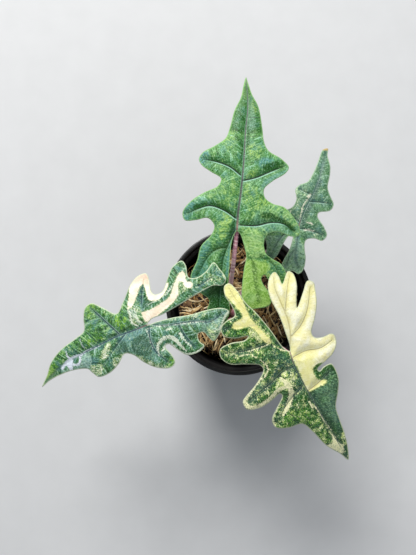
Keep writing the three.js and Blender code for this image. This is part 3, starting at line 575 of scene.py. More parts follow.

# Palettes in sRGB, and how strong each leaf's shades, flecks and fine lines are. The shine tone is a painted
# highlight; the deep and dusk tones and the flank strength carry painted shade, in part the leaf's own
# greens.
PALETTES = {
    "back": dict(
        dark=(30, 84, 26), base=(62, 124, 58), light=(94, 154, 96), shine=(150, 200, 176),
        lime=(106, 154, 66), lime_light=(168, 204, 112), deep=(14, 74, 4), teal=(84, 144, 140),
        fleck=(148, 186, 96), fleck_light=(184, 214, 164), pale=(200, 220, 170), cream=(246, 240, 206),
        cream_light=(252, 250, 230), near_cream=(226, 216, 140), vein=(22, 36, 32), midrib=(84, 84, 84),
        margin=(140, 186, 118), under=(112, 142, 108), dusk=(38, 92, 34), warm=0.3, cool=0.35, specks=0.3,
        flecks=-0.5, marbling=0.0, hatch=0.5, flank=0.65, shade=0.5, shade_width=3.5, lines=1.0,
        rear_lines=0.25, midrib_width=0.8, midrib_end=200, banding=0.35, edge_lime=0.3,
    ),
    "left": dict(
        dark=(22, 66, 26), base=(52, 108, 52), light=(90, 146, 104), shine=(172, 206, 194),
        lime=(84, 146, 26), lime_light=(146, 194, 62), deep=(24, 62, 26), teal=(80, 128, 136),
        fleck=(196, 212, 160), fleck_light=(236, 240, 220), pale=(224, 232, 214), cream=(252, 234, 208),
        cream_light=(255, 248, 232), near_cream=(250, 230, 200), vein=(40, 60, 74), midrib=(62, 82, 96),
        margin=(204, 218, 184), under=(106, 134, 108), dusk=(62, 96, 110), warm=0.1, cool=0.5, specks=0.5,
        flecks=-0.35, marbling=0.3, hatch=0.6, flank=0.0, shade=0.55, shade_width=2.2, lines=0.7,
        rear_lines=0.7, midrib_width=0.5, midrib_end=66, banding=0.6, edge_lime=0.1,
    ),
    "front": dict(
        dark=(6, 36, 6), base=(28, 78, 18), light=(66, 120, 48), shine=(150, 190, 144), lime=(48, 128, 6),
        lime_light=(116, 178, 36), deep=(14, 50, 12), teal=(60, 100, 98), fleck=(200, 216, 128),
        fleck_light=(252, 250, 204), pale=(250, 246, 200), cream=(250, 244, 188),
        cream_light=(254, 253, 224), near_cream=(222, 216, 132), vein=(40, 54, 54), midrib=(66, 76, 80),
        margin=(208, 216, 180), under=(112, 132, 92), dusk=(50, 74, 72), warm=0.4, cool=0.25, specks=0.85,
        flecks=-0.2, marbling=0.9, hatch=0.3, flank=0.0, shade=0.75, shade_width=4.5, lines=0.6,
        rear_lines=0.8, midrib_width=0.45, midrib_end=94, banding=0.2, edge_lime=0.1,
    ),
    "right": dict(
        dark=(42, 82, 54), base=(70, 114, 78), light=(96, 140, 108), shine=(164, 198, 176),
        lime=(96, 148, 76), lime_light=(134, 178, 108), deep=(36, 74, 60), teal=(92, 138, 144),
        fleck=(164, 188, 144), fleck_light=(216, 224, 196), pale=(226, 224, 204), cream=(228, 218, 204),
        cream_light=(238, 232, 222), near_cream=(226, 216, 140), vein=(44, 66, 62), midrib=(56, 82, 80),
        margin=(168, 192, 160), under=(104, 130, 106), dusk=(56, 84, 88), warm=0.3, cool=0.4, specks=0.4,
        flecks=-0.35, marbling=0.15, hatch=0.4, flank=0.2, shade=0.5, shade_width=2.5, lines=0.5,
        rear_lines=0.5, midrib_width=0.5, midrib_end=60, banding=0.3, edge_lime=0.15,
    ),
}


def linear(red, green, blue):
    """An sRGB colour, 0 to 255, as a linear one with alpha."""
    values = [value / 255 for value in (red, green, blue)]
    return tuple(v / 12.92 if v < 0.04045 else ((v + 0.055) / 1.055) ** 2.4 for v in values) + (1.0,)


# Paths and fields in a leaf's flat frame

def smooth_path(points, closed=False, step=PATH_STEP):
    """Evenly spaced places on the centripetal Catmull-Rom curve through points, as the CAD draws it."""
    p = np.asarray(points, float)
    if closed:
        p = np.vstack([p[-1], p, p[0], p[1]])
    else:
        p = np.vstack([2 * p[0] - p[1], p, 2 * p[-1] - p[-2]])
    gap = np.maximum(np.linalg.norm(np.diff(p, axis=0), axis=1) ** 0.5, 1e-4)[:, None]
    t = np.linspace(0, 1, 24, endpoint=False)[:, None]
    fine = []
    for i in range(1, len(p) - 2):
        a, b, c, d = p[i - 1:i + 3]
        before, here, after = gap[i - 1], gap[i], gap[i + 1]
        start = ((b - a) / before - (c - a) / (before + here) + (c - b) / here) * here
        end = ((c - b) / here - (d - b) / (here + after) + (d - c) / after) * here
        fine.append(b + start * t + (3 * (c - b) - 2 * start - end) * t ** 2
                    + (2 * (b - c) + start + end) * t ** 3)
    return respaced(np.vstack(fine + [p[-2][None]]), step)


def lengths_along(path):
    """The path's length up to each of its points."""
    return np.concatenate([[0], np.cumsum(np.linalg.norm(np.diff(path, axis=0), axis=1))])


def respaced(path, step):
    """The same path with its points step apart."""
    lengths = lengths_along(path)
    count = max(2, int(math.ceil(lengths[-1] / step)) + 1)
    places = np.linspace(0, lengths[-1], count)
    return np.stack([np.interp(places, lengths, column) for column in path.T], axis=1)


def search_tree(places):
    """A tree that finds the nearest of some flat places."""
    tree = KDTree(len(places))
    for i, place in enumerate(places):
        tree.insert((*place, 0), i)
    tree.balance()
    return tree


def nearest_on(path, points):
    """For each point: its distance to a fine path, the path's length to there, and the side it is on."""
    tree = search_tree(path)
    index = np.array([tree.find((*point, 0))[1] for point in points])
    lengths = lengths_along(path)
    best = np.full(len(points), np.inf)
    along, side = np.zeros(len(points)), np.ones(len(points))
    for first in (np.maximum(index - 1, 0), np.minimum(index, len(path) - 2)):
        a, b = path[first], path[first + 1]
        run = b - a
        size = np.maximum((run ** 2).sum(axis=1), 1e-12)
        share = np.clip(((points - a) * run).sum(axis=1) / size, 0, 1)
        off = points - a - run * share[:, None]
        distance = np.hypot(off[:, 0], off[:, 1])
        closer = distance < best
        best = np.where(closer, distance, best)
        along = np.where(closer, lengths[first] + share * np.sqrt(size), along)
        side = np.where(closer, np.sign(run[:, 0] * off[:, 1] - run[:, 1] * off[:, 0]), side)
    return best, along, side


def inside(outline, points):
    """Which points lie inside a closed outline."""
    result = np.zeros(len(points), bool)
    u, v = points.T
    for (u1, v1), (u2, v2) in zip(outline, np.roll(outline, -1, axis=0)):
        crosses = (v1 > v) != (v2 > v)
        at = (u2 - u1) * (v - v1) / (v2 - v1 if v2 != v1 else 1) + u1
        result ^= crosses & (u < at)
    return result


def smoothstep(low, high, values):
    """A smooth step from 0 at low to 1 at high."""
    share = np.clip((values - low) / (high - low), 0, 1)
    return share * share * (3 - 2 * share)


def value_noise(points, size, seed, cells=64):
    """Smooth noise from 0 to 1 with features of about the given size."""
    grid = np.random.default_rng(seed).random((cells, cells))
    x, y = np.floor(points / size).astype(int).T
    share_x, share_y = smoothstep(0, 1, points / size - np.floor(points / size)).T

    def corner(i, j):
        return grid[(x + i) % cells, (y + j) % cells]

    low = corner(0, 0) * (1 - share_x) + corner(1, 0) * share_x
    high = corner(0, 1) * (1 - share_x) + corner(1, 1) * share_x
    return low * (1 - share_y) + high * share_y


def drawn_on(name):
    """The kind, strength, half widths and points of each of a leaf's markings. An area has no half widths."""
    for (leaf_name, kind), areas in AREAS.items():
        if leaf_name == name:
            yield from ((kind, strength, None, points) for strength, points in areas)
    for (leaf_name, kind), strokes in STROKES.items():
        if leaf_name == name:
            yield from ((kind, *stroke) for stroke in strokes)


def marking_depth(half_widths, shape, points):
    """How far each point lies inside a marking, in millimetres, and less than 0 outside."""
    if half_widths is None:
        outline = smooth_path(shape, closed=True)
        distance = nearest_on(outline, points)[0]
        return np.where(inside(outline, points), distance, -distance)
    path = smooth_path(shape)
    distance, along, _ = nearest_on(path, points)
    share = along / lengths_along(path)[-1]
    return np.interp(share, np.linspace(0, 1, len(half_widths)), half_widths) - distance


def marking_fields(name, points):
    """One value per point for each kind of marking: a depth in millimetres, or 0 to 1 and a little over."""
    fields = {kind: np.full(len(points), FAR_OUTSIDE) for kind in DEPTH_KINDS}
    fields.update({kind: np.zeros(len(points)) for kind in MARKING_SOFTNESS})
    for kind, strength, half_widths, shape in drawn_on(name):
        value = marking_depth(half_widths, shape, points)
        if kind in DEPTH_KINDS:
            value = value - WEAK_INSET * (1 - strength)
        else:
            soft = MARKING_SOFTNESS[kind]
            value = strength * smoothstep(-soft, soft, value)
        fields[kind] = np.maximum(fields[kind], value)
    return fields


# Blades

def lattice_inside(outline):
    """A slightly uneven lattice of points inside a blade's outline."""
    low, high = outline.min(axis=0), outline.max(axis=0)
    rows = []
    for row, v in enumerate(np.arange(low[1], high[1], MESH_STEP * math.sin(math.pi / 3))):
        u = np.arange(low[0] + 0.5 * MESH_STEP * (row % 2), high[0], MESH_STEP)
        rows.append(np.column_stack([u, np.full(len(u), v)]))
    lattice = np.vstack(rows)
    lattice += np.random.default_rng(5).uniform(-MESH_UNEVENNESS, MESH_UNEVENNESS, lattice.shape)
    return lattice[inside(outline, lattice)]


def flat_mesh(leaf):
    """The flat points and triangles of a blade: fine, even, and with points along the outline and veins."""
    outline = smooth_path(leaf["outline"], closed=True, step=MESH_STEP)[:-1]
    drawn, edges, count = [outline], [], len(outline)
    for vein in [leaf["midrib"]] + leaf["veins"]:
        line = smooth_path(vein, step=MESH_STEP)
        clear = nearest_on(outline, line)[0] > 0.5 * MESH_STEP
        line = line[clear & inside(outline, line)]
        gaps = np.linalg.norm(np.diff(line, axis=0), axis=1)
        edges += [(count + i, count + i + 1) for i, gap in enumerate(gaps) if gap < 2 * MESH_STEP]
        drawn.append(line)
        count += len(line)
    drawn = np.vstack(drawn)
    lattice = lattice_inside(outline)
    tree = search_tree(drawn)
    gap = np.array([tree.find((*point, 0))[2] for point in lattice])
    places = np.vstack([drawn, lattice[gap > 0.6 * MESH_STEP]])
    border = [list(range(len(outline)))]
    result = delaunay_2d_cdt([Vector(place) for place in places], edges, border, 0, 1e-5, False)
    points = np.array([tuple(place) for place in result[0]])
    triangles = np.array(result[2])
    return points, triangles[inside(outline, points[triangles].mean(axis=1))]


def blade_axes(leaf):
    """The blade's own axes: along its midrib, to its left, and up out of its face."""
    heading, pitch = math.radians(leaf["heading"]), math.radians(leaf["pitch"])
    level = math.cos(pitch)
    along = Vector((math.cos(heading) * level, math.sin(heading) * level, math.sin(pitch)))
    left = Vector((-math.sin(heading), math.cos(heading), 0))
    return along, left, along.cross(left)


def on_blade(leaf, points, lift):
    """Places on the arched blade, in millimetres, raised out of its face by lift."""
    along, left, up = (np.array(axis) for axis in blade_axes(leaf))
    u, v = points[:, 0:1], points[:, 1:2]
    bend = np.where(u > 0, leaf["arch"], leaf["tail"])
    drop = bend * (u / 100) ** 2 + CROSS_SAG * (v / 50) ** 2
    return np.array(leaf["joint"]) + along * u + left * v + up * (np.reshape(lift, (-1, 1)) - drop)


def leaf_fields(leaf, points):
    """Distances and flow along the veins at each flat point."""
    edge = nearest_on(smooth_path(leaf["outline"], closed=True), points)[0]
    midrib, midrib_along, _ = nearest_on(smooth_path(leaf["midrib"]), points)
    vein = np.full(len(points), np.inf)
    reached, number, tipward = np.zeros((3, len(points)))
    across, flow = midrib, midrib_along
    for i, line in enumerate(leaf["veins"]):
        path = smooth_path(line)
        distance, along, _ = nearest_on(path, points)
        closer = distance < vein
        vein = np.where(closer, distance, vein)
        reached = np.where(closer, along / lengths_along(path)[-1], reached)
        last_run = path[-1] - path[-9]
        onward = path[-1] + last_run / np.linalg.norm(last_run) * VEIN_RUN_ON
        distance, along, side = nearest_on(respaced(np.vstack([path, onward]), PATH_STEP), points)
        closer = distance < across
        across = np.where(closer, distance, across)
        flow = np.where(closer, along, flow)
        number = np.where(closer, i + 1, number)
        tipward = np.where(closer, -side * np.sign(path[-1, 1] - path[0, 1]), tipward)
    rib = MIDRIB_HALF_WIDTH - MIDRIB_NARROWING * midrib_along / midrib_along.max()
    return SimpleNamespace(edge=edge, midrib=midrib, vein=vein, across=across, number=number, tipward=tipward,
                           reached=reached, phase=flow - FINE_VEIN_LEAN * across, rib=rib)


def fine_relief(fields, points):
    """Small domes between the fine veins, and low ridges between their grooves, both from 0 to 1."""
    row = fields.phase / FINE_VEIN_SPACING + 0.8 * (value_noise(points, 7, 3) - 0.5)
    shift = np.mod(np.floor(row) * 0.37 + fields.number * 0.21, 1)
    column = fields.across / DOME_SPACING + shift + 0.7 * (value_noise(points, 4, 9) - 0.5)
    groove = np.sin(math.pi * np.mod(row, 1))
    dome = np.sqrt(np.clip(groove * np.sin(math.pi * np.mod(column, 1)), 0, 1))
    return dome, groove


def blade_faces(leaf, points, fields, marks, dome, groove):
    """The places of the blade's top and underside. Level areas lie flatter, and cream ones are smoother."""
    all_veins = np.minimum(fields.midrib, fields.vein)
    level = marks["level"]
    valley = VEIN_VALLEY * np.exp(-(all_veins / VEIN_VALLEY_WIDTH) ** 2) * (1 - VALLEY_LEVELLED * level)
    roll = MARGIN_ROLL * np.exp(-(fields.edge / MARGIN_ROLL_WIDTH) ** 2) * (1 - ROLL_LEVELLED * level)
    calm = 1 - DOMES_CALMED * np.maximum(smoothstep(-0.5, 1.5, marks["cream"]), marks["smooth"])
    settle = smoothstep(0.2, 1.6, np.minimum(all_veins, fields.edge)) * calm
    puckers = PUCKER_HEIGHT * (value_noise(points, PUCKER_SIZE, 21) - 0.5) * smoothstep(1, 5, fields.edge)
    surface = settle * (DOME_HEIGHT * dome + GROOVE_HEIGHT * groove) + puckers - valley - roll
    half = 0.5 * SHEET * (MARGIN_SHARE + (1 - MARGIN_SHARE) * smoothstep(0, 1.2, fields.edge))
    midrib_rib = (MIDRIB_DEPTH + 0.1) * np.exp(-(fields.midrib / fields.rib) ** 2)
    vein_rib = VEIN_DEPTH * np.exp(-(fields.vein / VEIN_RIB_WIDTH) ** 2)
    rib = np.maximum(midrib_rib, vein_rib) * smoothstep(0, 2.5, fields.edge)
    under = surface - half - rib - HOLLOW_HEIGHT * settle * dome
    return on_blade(leaf, points, surface + half), on_blade(leaf, points, under)


def boundary_edges(triangles):
    """The edges that only one triangle has, in that triangle's direction."""
    directed = np.vstack([triangles[:, [0, 1]], triangles[:, [1, 2]], triangles[:, [2, 0]]])
    known = {tuple(edge) for edge in directed.tolist()}
    return np.array([(a, b) for a, b in sorted(known) if (b, a) not in known])


def blade(name):
    """A thin closed sheet with valleys along its veins, a rolled margin and ribs under its veins."""
    leaf = LEAVES[name]
    points, triangles = flat_mesh(leaf)
    fields = leaf_fields(leaf, points)
    marks = marking_fields(name, points)
    dome, groove = fine_relief(fields, points)
    count = len(points)
    a, b = boundary_edges(triangles).T
    faces = np.vstack([triangles, triangles[:, ::-1] + count, np.column_stack([b, a, a + count]),
                       np.column_stack([b, a + count, b + count])])
    places = np.vstack(blade_faces(leaf, points, fields, marks, dome, groove))
    piece = mesh_piece(f"leaf_{name}", places, faces)

    stored = dict(edge=fields.edge, midrib=fields.midrib, vein=fields.vein, reached=fields.reached,
                  rib=fields.rib, dome=dome, groove=groove, **marks)
    stored["tipward"] = fields.tipward * np.exp(-(fields.vein / TIPWARD_REACH) ** 2)
    for key, values in stored.items():
        give(piece, key, np.tile(values, 2))
    give(piece, "under", np.repeat([0.0, 1.0], count))
    flat = np.column_stack([points, np.zeros(count)])
    flow = np.column_stack([fields.phase, fields.across, 40 * fields.number])
    give(piece, "flat", np.vstack([flat, flat]))
    give(piece, "flow", np.vstack([flow, flow]))
    return piece


# Meshes

def mesh_piece(name, points, faces):
    """An object with a smooth-shaded mesh, from points in millimetres."""
    mesh = bpy.data.meshes.new(name)
    mesh.from_pydata((np.asarray(points) * MM).tolist(), [], [[int(i) for i in face] for face in faces])
    mesh.validate()
    mesh.shade_smooth()
    piece = bpy.data.objects.new(name, mesh)
    bpy.context.scene.collection.objects.link(piece)
    return piece


def give(piece, key, values):
    """Store a number or a vector at each point of a piece's mesh."""
    values = np.asarray(values, np.float32)
    kind, field = ("FLOAT", "value") if values.ndim == 1 else ("FLOAT_VECTOR", "vector")
    layer = piece.data.attributes.new(key, kind, "POINT")
    layer.data.foreach_set(field, values.ravel())


def circle(radius, height, sides):
    """A ring of points about the pot's axis. Its radius may differ from point to point."""
    angle = turns(sides)
    return np.column_stack([radius * np.cos(angle), radius * np.sin(angle), np.full(sides, height)])


def turns(sides):
    """Angles evenly round a full turn."""
    return 2 * math.pi * np.arange(sides) / sides


def tube_faces(rings, sides):
    """Triangles round rings of points, with a fan at each end to the two points that follow the rings."""
    j = np.arange(sides)
    k = (j + 1) % sides
    first = (sides * np.arange(rings - 1))[:, None]
    a, b = (first + j).ravel(), (first + k).ravel()
    start, last = np.full(sides, rings * sides), (rings - 1) * sides
    faces = [(a, b, b + sides), (a, b + sides, a + sides), (start, k, j), (start + 1, last + j, last + k)]
    return np.vstack([np.column_stack(corners) for corners in faces])


def sweep(path, across, thick, sides, spin=0.0):
    """A closed tube along a path: its half sizes across and thick vary along it. Points and faces."""
    path = np.asarray(path, float)
    count = len(path)
    across, thick = np.broadcast_to(across, count), np.broadcast_to(thick, count)
    tangents = np.gradient(path, axis=0)
    tangents /= np.linalg.norm(tangents, axis=1)[:, None]
    normal = np.cross(tangents[0], [0, 0, 1] if abs(tangents[0][2]) < 0.9 else [1, 0, 0])
    angles = turns(sides)[:, None]
    rings = []
    for i, tangent in enumerate(tangents):
        normal = normal - tangent * (normal @ tangent)
        normal /= np.linalg.norm(normal)
        turn = spin * i / count
        turned = normal * math.cos(turn) + np.cross(tangent, normal) * math.sin(turn)
        other = np.cross(tangent, turned)
        rings.append(path[i] + across[i] * np.cos(angles) * turned + thick[i] * np.sin(angles) * other)
    return np.vstack(rings + [path[:1], path[-1:]]), tube_faces(count, sides)


class Heap:
    """Many small closed shapes gathered in one mesh, with a tone and a grain for each."""

    def __init__(self):
        self.points, self.faces, self.tones, self.grains, self.count = [], [], [], [], 0

    def add(self, points, faces, tone):
        self.points.append(points)
        self.faces.append(faces + self.count)
        self.tones.append(np.full(len(points), tone))
        self.grains.append(lengthwise(points, tone))
        self.count += len(points)

    def piece(self, name):
        result = mesh_piece(name, np.vstack(self.points), np.vstack(self.faces))
        give(result, "tone", np.concatenate(self.tones))
        give(result, "grain", np.vstack(self.grains))
        return result


def lengthwise(points, tone):
    """Coordinates for a grain along a shape: its longest way is squeezed, and each tone has its own place."""
    centred = points - points.mean(axis=0)
    longest = np.linalg.svd(centred, full_matrices=False)[2][0]
    along = centred @ longest
    return centred - 0.85 * along[:, None] * longest + 50 * tone


# Stalks and crown

def bezier(corners, count):
    """Points on a cubic curve from the first corner to the last."""
    t = np.linspace(0, 1, count)[:, None]
    a, b, c, d = (np.array(corner, float) for corner in corners)
    return a * (1 - t) ** 3 + 3 * b * t * (1 - t) ** 2 + 3 * c * t ** 2 * (1 - t) + d * t ** 3


def stalk_path(leaf):
    """The line of a stalk: up from the crown, over in an arch, and on along the blade's midrib from below."""
    angle = math.radians(leaf["root_angle"])
    root = Vector((CROWN_PLACE[0] + STALK_ROOT_OFFSET * math.cos(angle),
                   CROWN_PLACE[1] + STALK_ROOT_OFFSET * math.sin(angle), CROWN_TOP - 1))
    along, _, up = blade_axes(leaf)
    arrival = along.copy()
    arrival.rotate(Quaternion(up, math.radians(leaf["turn"])))
    arrival += up * math.tan(math.radians(STALK_TILT))
    arrival.normalize()

    def under_midrib(onward, gap):
        return on_blade(leaf, np.array([[STALK_SEAT + onward, 0.0]]), -VEIN_VALLEY - gap)[0]

    end = Vector(under_midrib(0, 0.5 * BLADE_THICKNESS + STALK_TOP_RADIUS))
    bends = root + Vector((0, 0, leaf["rise"])), end - arrival * leaf["reach"]
    arch = bezier([root, *bends, end], 70)
    run_in = [under_midrib(onward, 1.3 - 0.06 * onward) for onward in (3, 6, 10)]
    return respaced(np.vstack([arch, run_in]), STALK_STEP)


def stalk(name):
    """A round stalk with a wider sheath at its foot, which thins out under the blade."""
    path = stalk_path(LEAVES[name])
    share = np.linspace(0, 1, len(path))
    sheath = np.clip(1 - share / SHEATH_SHARE, 0, 1) ** 1.5
    plain = STALK_TOP_RADIUS + STALK_TAPER * (1 - share)
    radius = plain + (STALK_BASE_RADIUS - STALK_TOP_RADIUS - STALK_TAPER) * sheath
    radius *= 1 - 0.75 * smoothstep(0.9, 1, share)
    piece = mesh_piece(f"stalk_{name}", *sweep(path, radius, radius * (1 - 0.12 * sheath), STALK_SIDES))
    length = lengths_along(path)[-1]
    angle = np.tile(turns(STALK_SIDES), len(path))
    all_shares = np.repeat(share, STALK_SIDES)
    skin = np.column_stack([all_shares * length, np.sin(angle), np.cos(angle)])
    give(piece, "share", np.concatenate([all_shares, [0, 1]]))
    give(piece, "skin", np.vstack([skin, [(0, 0, 0), (length, 0, 0)]]))
    return piece


def crown():
    """The short stem base: a knob wrapped in old, dry, pointed leaf bases."""
    heap = Heap()
    rings, sides = 14, 40
    angle = turns(sides)
    centre = np.array([*CROWN_PLACE, 0])
    heights = np.linspace(CROWN_TOP - CROWN_KNOB_DEPTH, CROWN_TOP + 0.5, rings)
    knob = []
    for share, height in zip(np.linspace(0, 1, rings), heights):
        ridges = 0.35 * np.sin(9 * angle + 5 * share) + 0.2 * np.sin(23 * angle)
        radius = CROWN_RADIUS - CROWN_KNOB_INSET - CROWN_KNOB_NARROWING * share ** 3
        knob.append(circle(radius + ridges, height, sides))
    ends = [(0, 0, heights[0]), (0, 0, heights[-1] + 0.4)]
    heap.add(np.vstack(knob + [ends]) + centre, tube_faces(rings, sides), 0.3)
    rng = random.Random(4)
    for turn in turns(CROWN_LEAF_BASES):
        turn += rng.uniform(-0.2, 0.2)
        out = np.array([math.cos(turn), math.sin(turn), 0])
        foot = centre + (0, 0, CROWN_TOP - 9) + out * (CROWN_RADIUS - 1.6)
        tip = centre + (0, 0, CROWN_TOP + rng.uniform(1, 8)) + out * (CROWN_RADIUS - 2.6)
        path = smooth_path([foot, 0.5 * (foot + tip) + out * 0.9, tip], step=1.0)
        width = 3.0 * (1 - np.linspace(0, 1, len(path))) ** 0.7 + 0.15
        heap.add(*sweep(path, width, 0.35, 8), rng.random())
    return heap.piece("crown_base")


# Pot

def wall_at(height):
    """The radius of the pot's tapered wall at a height."""
    return BASE_RADIUS + (RIM_RADIUS - COLLAR_STEP - BASE_RADIUS) * height / POT_HEIGHT


def lathe(profile, sides):
    """A turned closed surface from [radius, height] points, starting and ending on the axis. It has quads."""
    rings = [circle(radius, height, sides) for radius, height in profile[1:-1]]
    ends = [(0, 0, profile[0][1]), (0, 0, profile[-1][1])]
    halves = (len(rings) - 1) * sides
    faces = tube_faces(len(rings), sides).tolist()
    quads = [one + other[-1:] for one, other in zip(faces[:halves], faces[halves:2 * halves])]
    return np.vstack(rings + [ends]), quads + faces[2 * halves:]


def rounded(corners, radius, steps=4):
    """A profile with its corners rounded, except the first and the last."""
    result = [corners[0]]
    for before, here, after in zip(corners, corners[1:], corners[2:]):
        here = np.array(here, float)
        back, on = np.array(before) - here, np.array(after) - here
        reach = min(radius, 0.45 * np.linalg.norm(back), 0.45 * np.linalg.norm(on))
        start = here + back / np.linalg.norm(back) * reach
        end = here + on / np.linalg.norm(on) * reach
        for t in np.linspace(0, 1, steps + 1):
            result.append(tuple(start * (1 - t) ** 2 + 2 * here * t * (1 - t) + end * t ** 2))
    return result + [corners[-1]]


def pot():
    """A thin tapered pot with a stepped collar, a rolled lip and drain holes."""
    collar_bottom = POT_HEIGHT - COLLAR_HEIGHT
    step_bottom = collar_bottom - COLLAR_STEP
    lip_bottom = POT_HEIGHT - LIP_HEIGHT
    collar_top_radius = RIM_RADIUS - COLLAR_INSET
    collar_radius = collar_top_radius - COLLAR_TAPER
    corners = [
        (0, BASE_HOLLOW_DEPTH), (BASE_HOLLOW_RADIUS, BASE_HOLLOW_DEPTH), (BASE_HOLLOW_RADIUS + WALL, 0),
        (BASE_RADIUS - EDGE_BEVEL, 0), (BASE_RADIUS, EDGE_BEVEL), (wall_at(step_bottom), step_bottom),
        (collar_radius, collar_bottom), (collar_top_radius, lip_bottom - EDGE_BEVEL),
        (RIM_RADIUS, lip_bottom), (RIM_RADIUS, POT_HEIGHT), (RIM_RADIUS - LIP_WIDTH, POT_HEIGHT),
        (RIM_RADIUS - LIP_WIDTH, lip_bottom - 0.5), (collar_radius - WALL, collar_bottom + EDGE_BEVEL),
        (wall_at(step_bottom) - WALL, step_bottom + EDGE_BEVEL), (wall_at(FLOOR) - WALL, FLOOR), (0, FLOOR),
    ]
    piece = mesh_piece("nursery_pot", *lathe(rounded(corners, CORNER_RADIUS), POT_SIDES))
    cutters = [drain_cutter(angle + math.pi / DRAIN_HOLES) for angle in turns(DRAIN_HOLES)]
    for cutter in cutters:
        cut = piece.modifiers.new("hole", "BOOLEAN")
        cut.operation, cut.solver, cut.object = "DIFFERENCE", "EXACT", cutter
    apply_modifiers(piece)
    for cutter in cutters:
        bpy.data.objects.remove(cutter)
    piece.data.shade_smooth()
    piece.data.set_sharp_from_angle(angle=math.radians(40))
    return piece


def drain_cutter(angle):
    """A short upright cylinder through the pot's base."""
    reach = DRAIN_CIRCLE_RADIUS * MM
    place = (reach * math.cos(angle), reach * math.sin(angle), 0)
    bpy.ops.mesh.primitive_cylinder_add(vertices=24, radius=DRAIN_HOLE_RADIUS * MM, depth=8 * MM,
                                        location=place)
    return bpy.context.object


def apply_modifiers(piece):
    """Replace a piece's mesh by what its modifiers make of it."""
    depsgraph = bpy.context.evaluated_depsgraph_get()
    mesh = bpy.data.meshes.new_from_object(piece.evaluated_get(depsgraph))
    piece.modifiers.clear()
    piece.data = mesh


# Growing mix

def mix_height(x, y):
    """The height of the mix's top, as in the CAD: a low mound that has slumped away from the front wall."""
    radius, angle = np.hypot(x, y), np.arctan2(y, x)
    lumps = np.sin(0.31 * radius + 3 * angle) * np.cos(0.23 * radius - 5 * angle)
    mound = MIX_EDGE_HEIGHT + MIX_MOUND * (1 - (radius / wall_at(MIX_EDGE_HEIGHT)) ** 2) + MIX_LUMPS * lumps
    side = math.radians(MIX_FALL_SIDE)
    forward = x * math.cos(side) + y * math.sin(side)
    return mound - MIX_FALL * smoothstep(MIX_FALL_START, MIX_FALL_END, forward)


def mix_bed():
    """The body of the mix: a mound of crumbs with a ragged edge, down to the pot's floor."""
    angle = turns(MIX_SIDES)
    edge = (MIX_EDGE_RADIUS + 1.2 * np.sin(7 * angle) + 0.8 * np.sin(17 * angle + 2)
            - 1.6 * np.sin(3 * angle + 1))
    top = np.vstack([circle(edge * i / MIX_RINGS, 0, MIX_SIDES) for i in range(1, MIX_RINGS + 1)])
    flat = top[:, :2]
    crumbs = sum(height * value_noise(flat, size, seed) for height, size, seed in MIX_CRUMBS)
    slump = MIX_EDGE_SLUMP * smoothstep(44, 51, np.hypot(*flat.T))
    top[:, 2] = mix_height(*flat.T) - MIX_CRUMB_DEPTH + crumbs - slump
    bottom = FLOOR + MIX_GAP
    skirt = [circle(np.minimum(wall_at(depth) - WALL - MIX_GAP, edge) - inset, depth, MIX_SIDES)
             for depth, inset in ((70, 0.5), (40, 0), (bottom, 0))]
    points = np.vstack([top, *skirt, [(0, 0, mix_height(0, 0) - 1), (0, 0, bottom)]])
    piece = mesh_piece("mix_bed", points, tube_faces(MIX_RINGS + len(skirt), MIX_SIDES)[:, ::-1])
    give(piece, "tone", np.full(len(points), 0.35))
    give(piece, "grain", points)
    return piece


def scatter(rng, spread):
    """A random place on the mix, clear of the crown."""
    while True:
        radius, angle = spread * math.sqrt(rng.random()), rng.uniform(0, 2 * math.pi)
        x, y = radius * math.cos(angle), radius * math.sin(angle)
        if math.hypot(x - CROWN_PLACE[0], y - CROWN_PLACE[1]) > CROWN_RADIUS + 1:
            return x, y


def lie(x, y):
    """The direction that strands lie in about a place, so that neighbours lie much alike."""
    return 1.1 + 2.2 * math.sin(0.07 * x + 1.3) * math.cos(0.06 * y - 0.4) + 0.8 * math.sin(0.11 * (x + y))


def ball_shape():
    """The points and faces of a small sphere, for bark chips."""
    ball = bmesh.new()
    bmesh.ops.create_icosphere(ball, subdivisions=2, radius=1)
    points = np.array([vertex.co[:] for vertex in ball.verts])
    faces = np.array([[vertex.index for vertex in face.verts] for face in ball.faces])
    ball.free()
    return points, faces


def mix_bark(count=110, spread=45):
    """Chunky chips of bark lying in the mix."""
    rng = random.Random(8)
    noise = np.random.default_rng(8)
    ball, faces = ball_shape()
    block = np.sign(ball) * np.abs(ball) ** 0.7
    heap = Heap()
    for _ in range(count):
        x, y = scatter(rng, spread)
        size = rng.uniform(1.8, 4.4)
        shape = block * [size, size * rng.uniform(0.4, 0.7), size * rng.uniform(0.2, 0.4)]
        shape += noise.normal(0, 0.07 * size, shape.shape)
        axis = (rng.gauss(0, 0.4), rng.gauss(0, 0.4), 1)
        turn = Quaternion(axis, lie(x, y) + rng.gauss(0, 0.7)).to_matrix()
        place = [x, y, mix_height(x, y) + rng.uniform(-1.2, 0.9)]
        heap.add(shape @ np.array(turn).T + place, faces, rng.random())
    return heap.piece("mix_bark")


def strand(rng, spread, length, wander, lift, wave, steps=8):
    """A wandering path laid on the mix at a random place. Its length, lift and wave are drawn from ranges."""
    x, y = scatter(rng, spread)
    length, lift, wave = rng.uniform(*length), rng.uniform(*lift), rng.uniform(*wave)
    heading = lie(x, y) + rng.gauss(0, 0.55)
    bend = rng.gauss(0, wander)
    places = [np.zeros(2)]
    for _ in range(steps):
        heading += bend + rng.gauss(0, 0.6 * wander)
        places.append(places[-1] + length / steps * np.array([math.cos(heading), math.sin(heading)]))
    flat = np.array(places) - np.mean(places, axis=0) + [x, y]
    flat *= np.minimum(1, STRAND_REACH / np.hypot(*flat.T))[:, None]
    ripple = wave * np.sin(rng.uniform(0, 6.3) + 1.2 * np.arange(steps + 1))
    return np.column_stack([flat, mix_height(*flat.T) + lift + ripple])


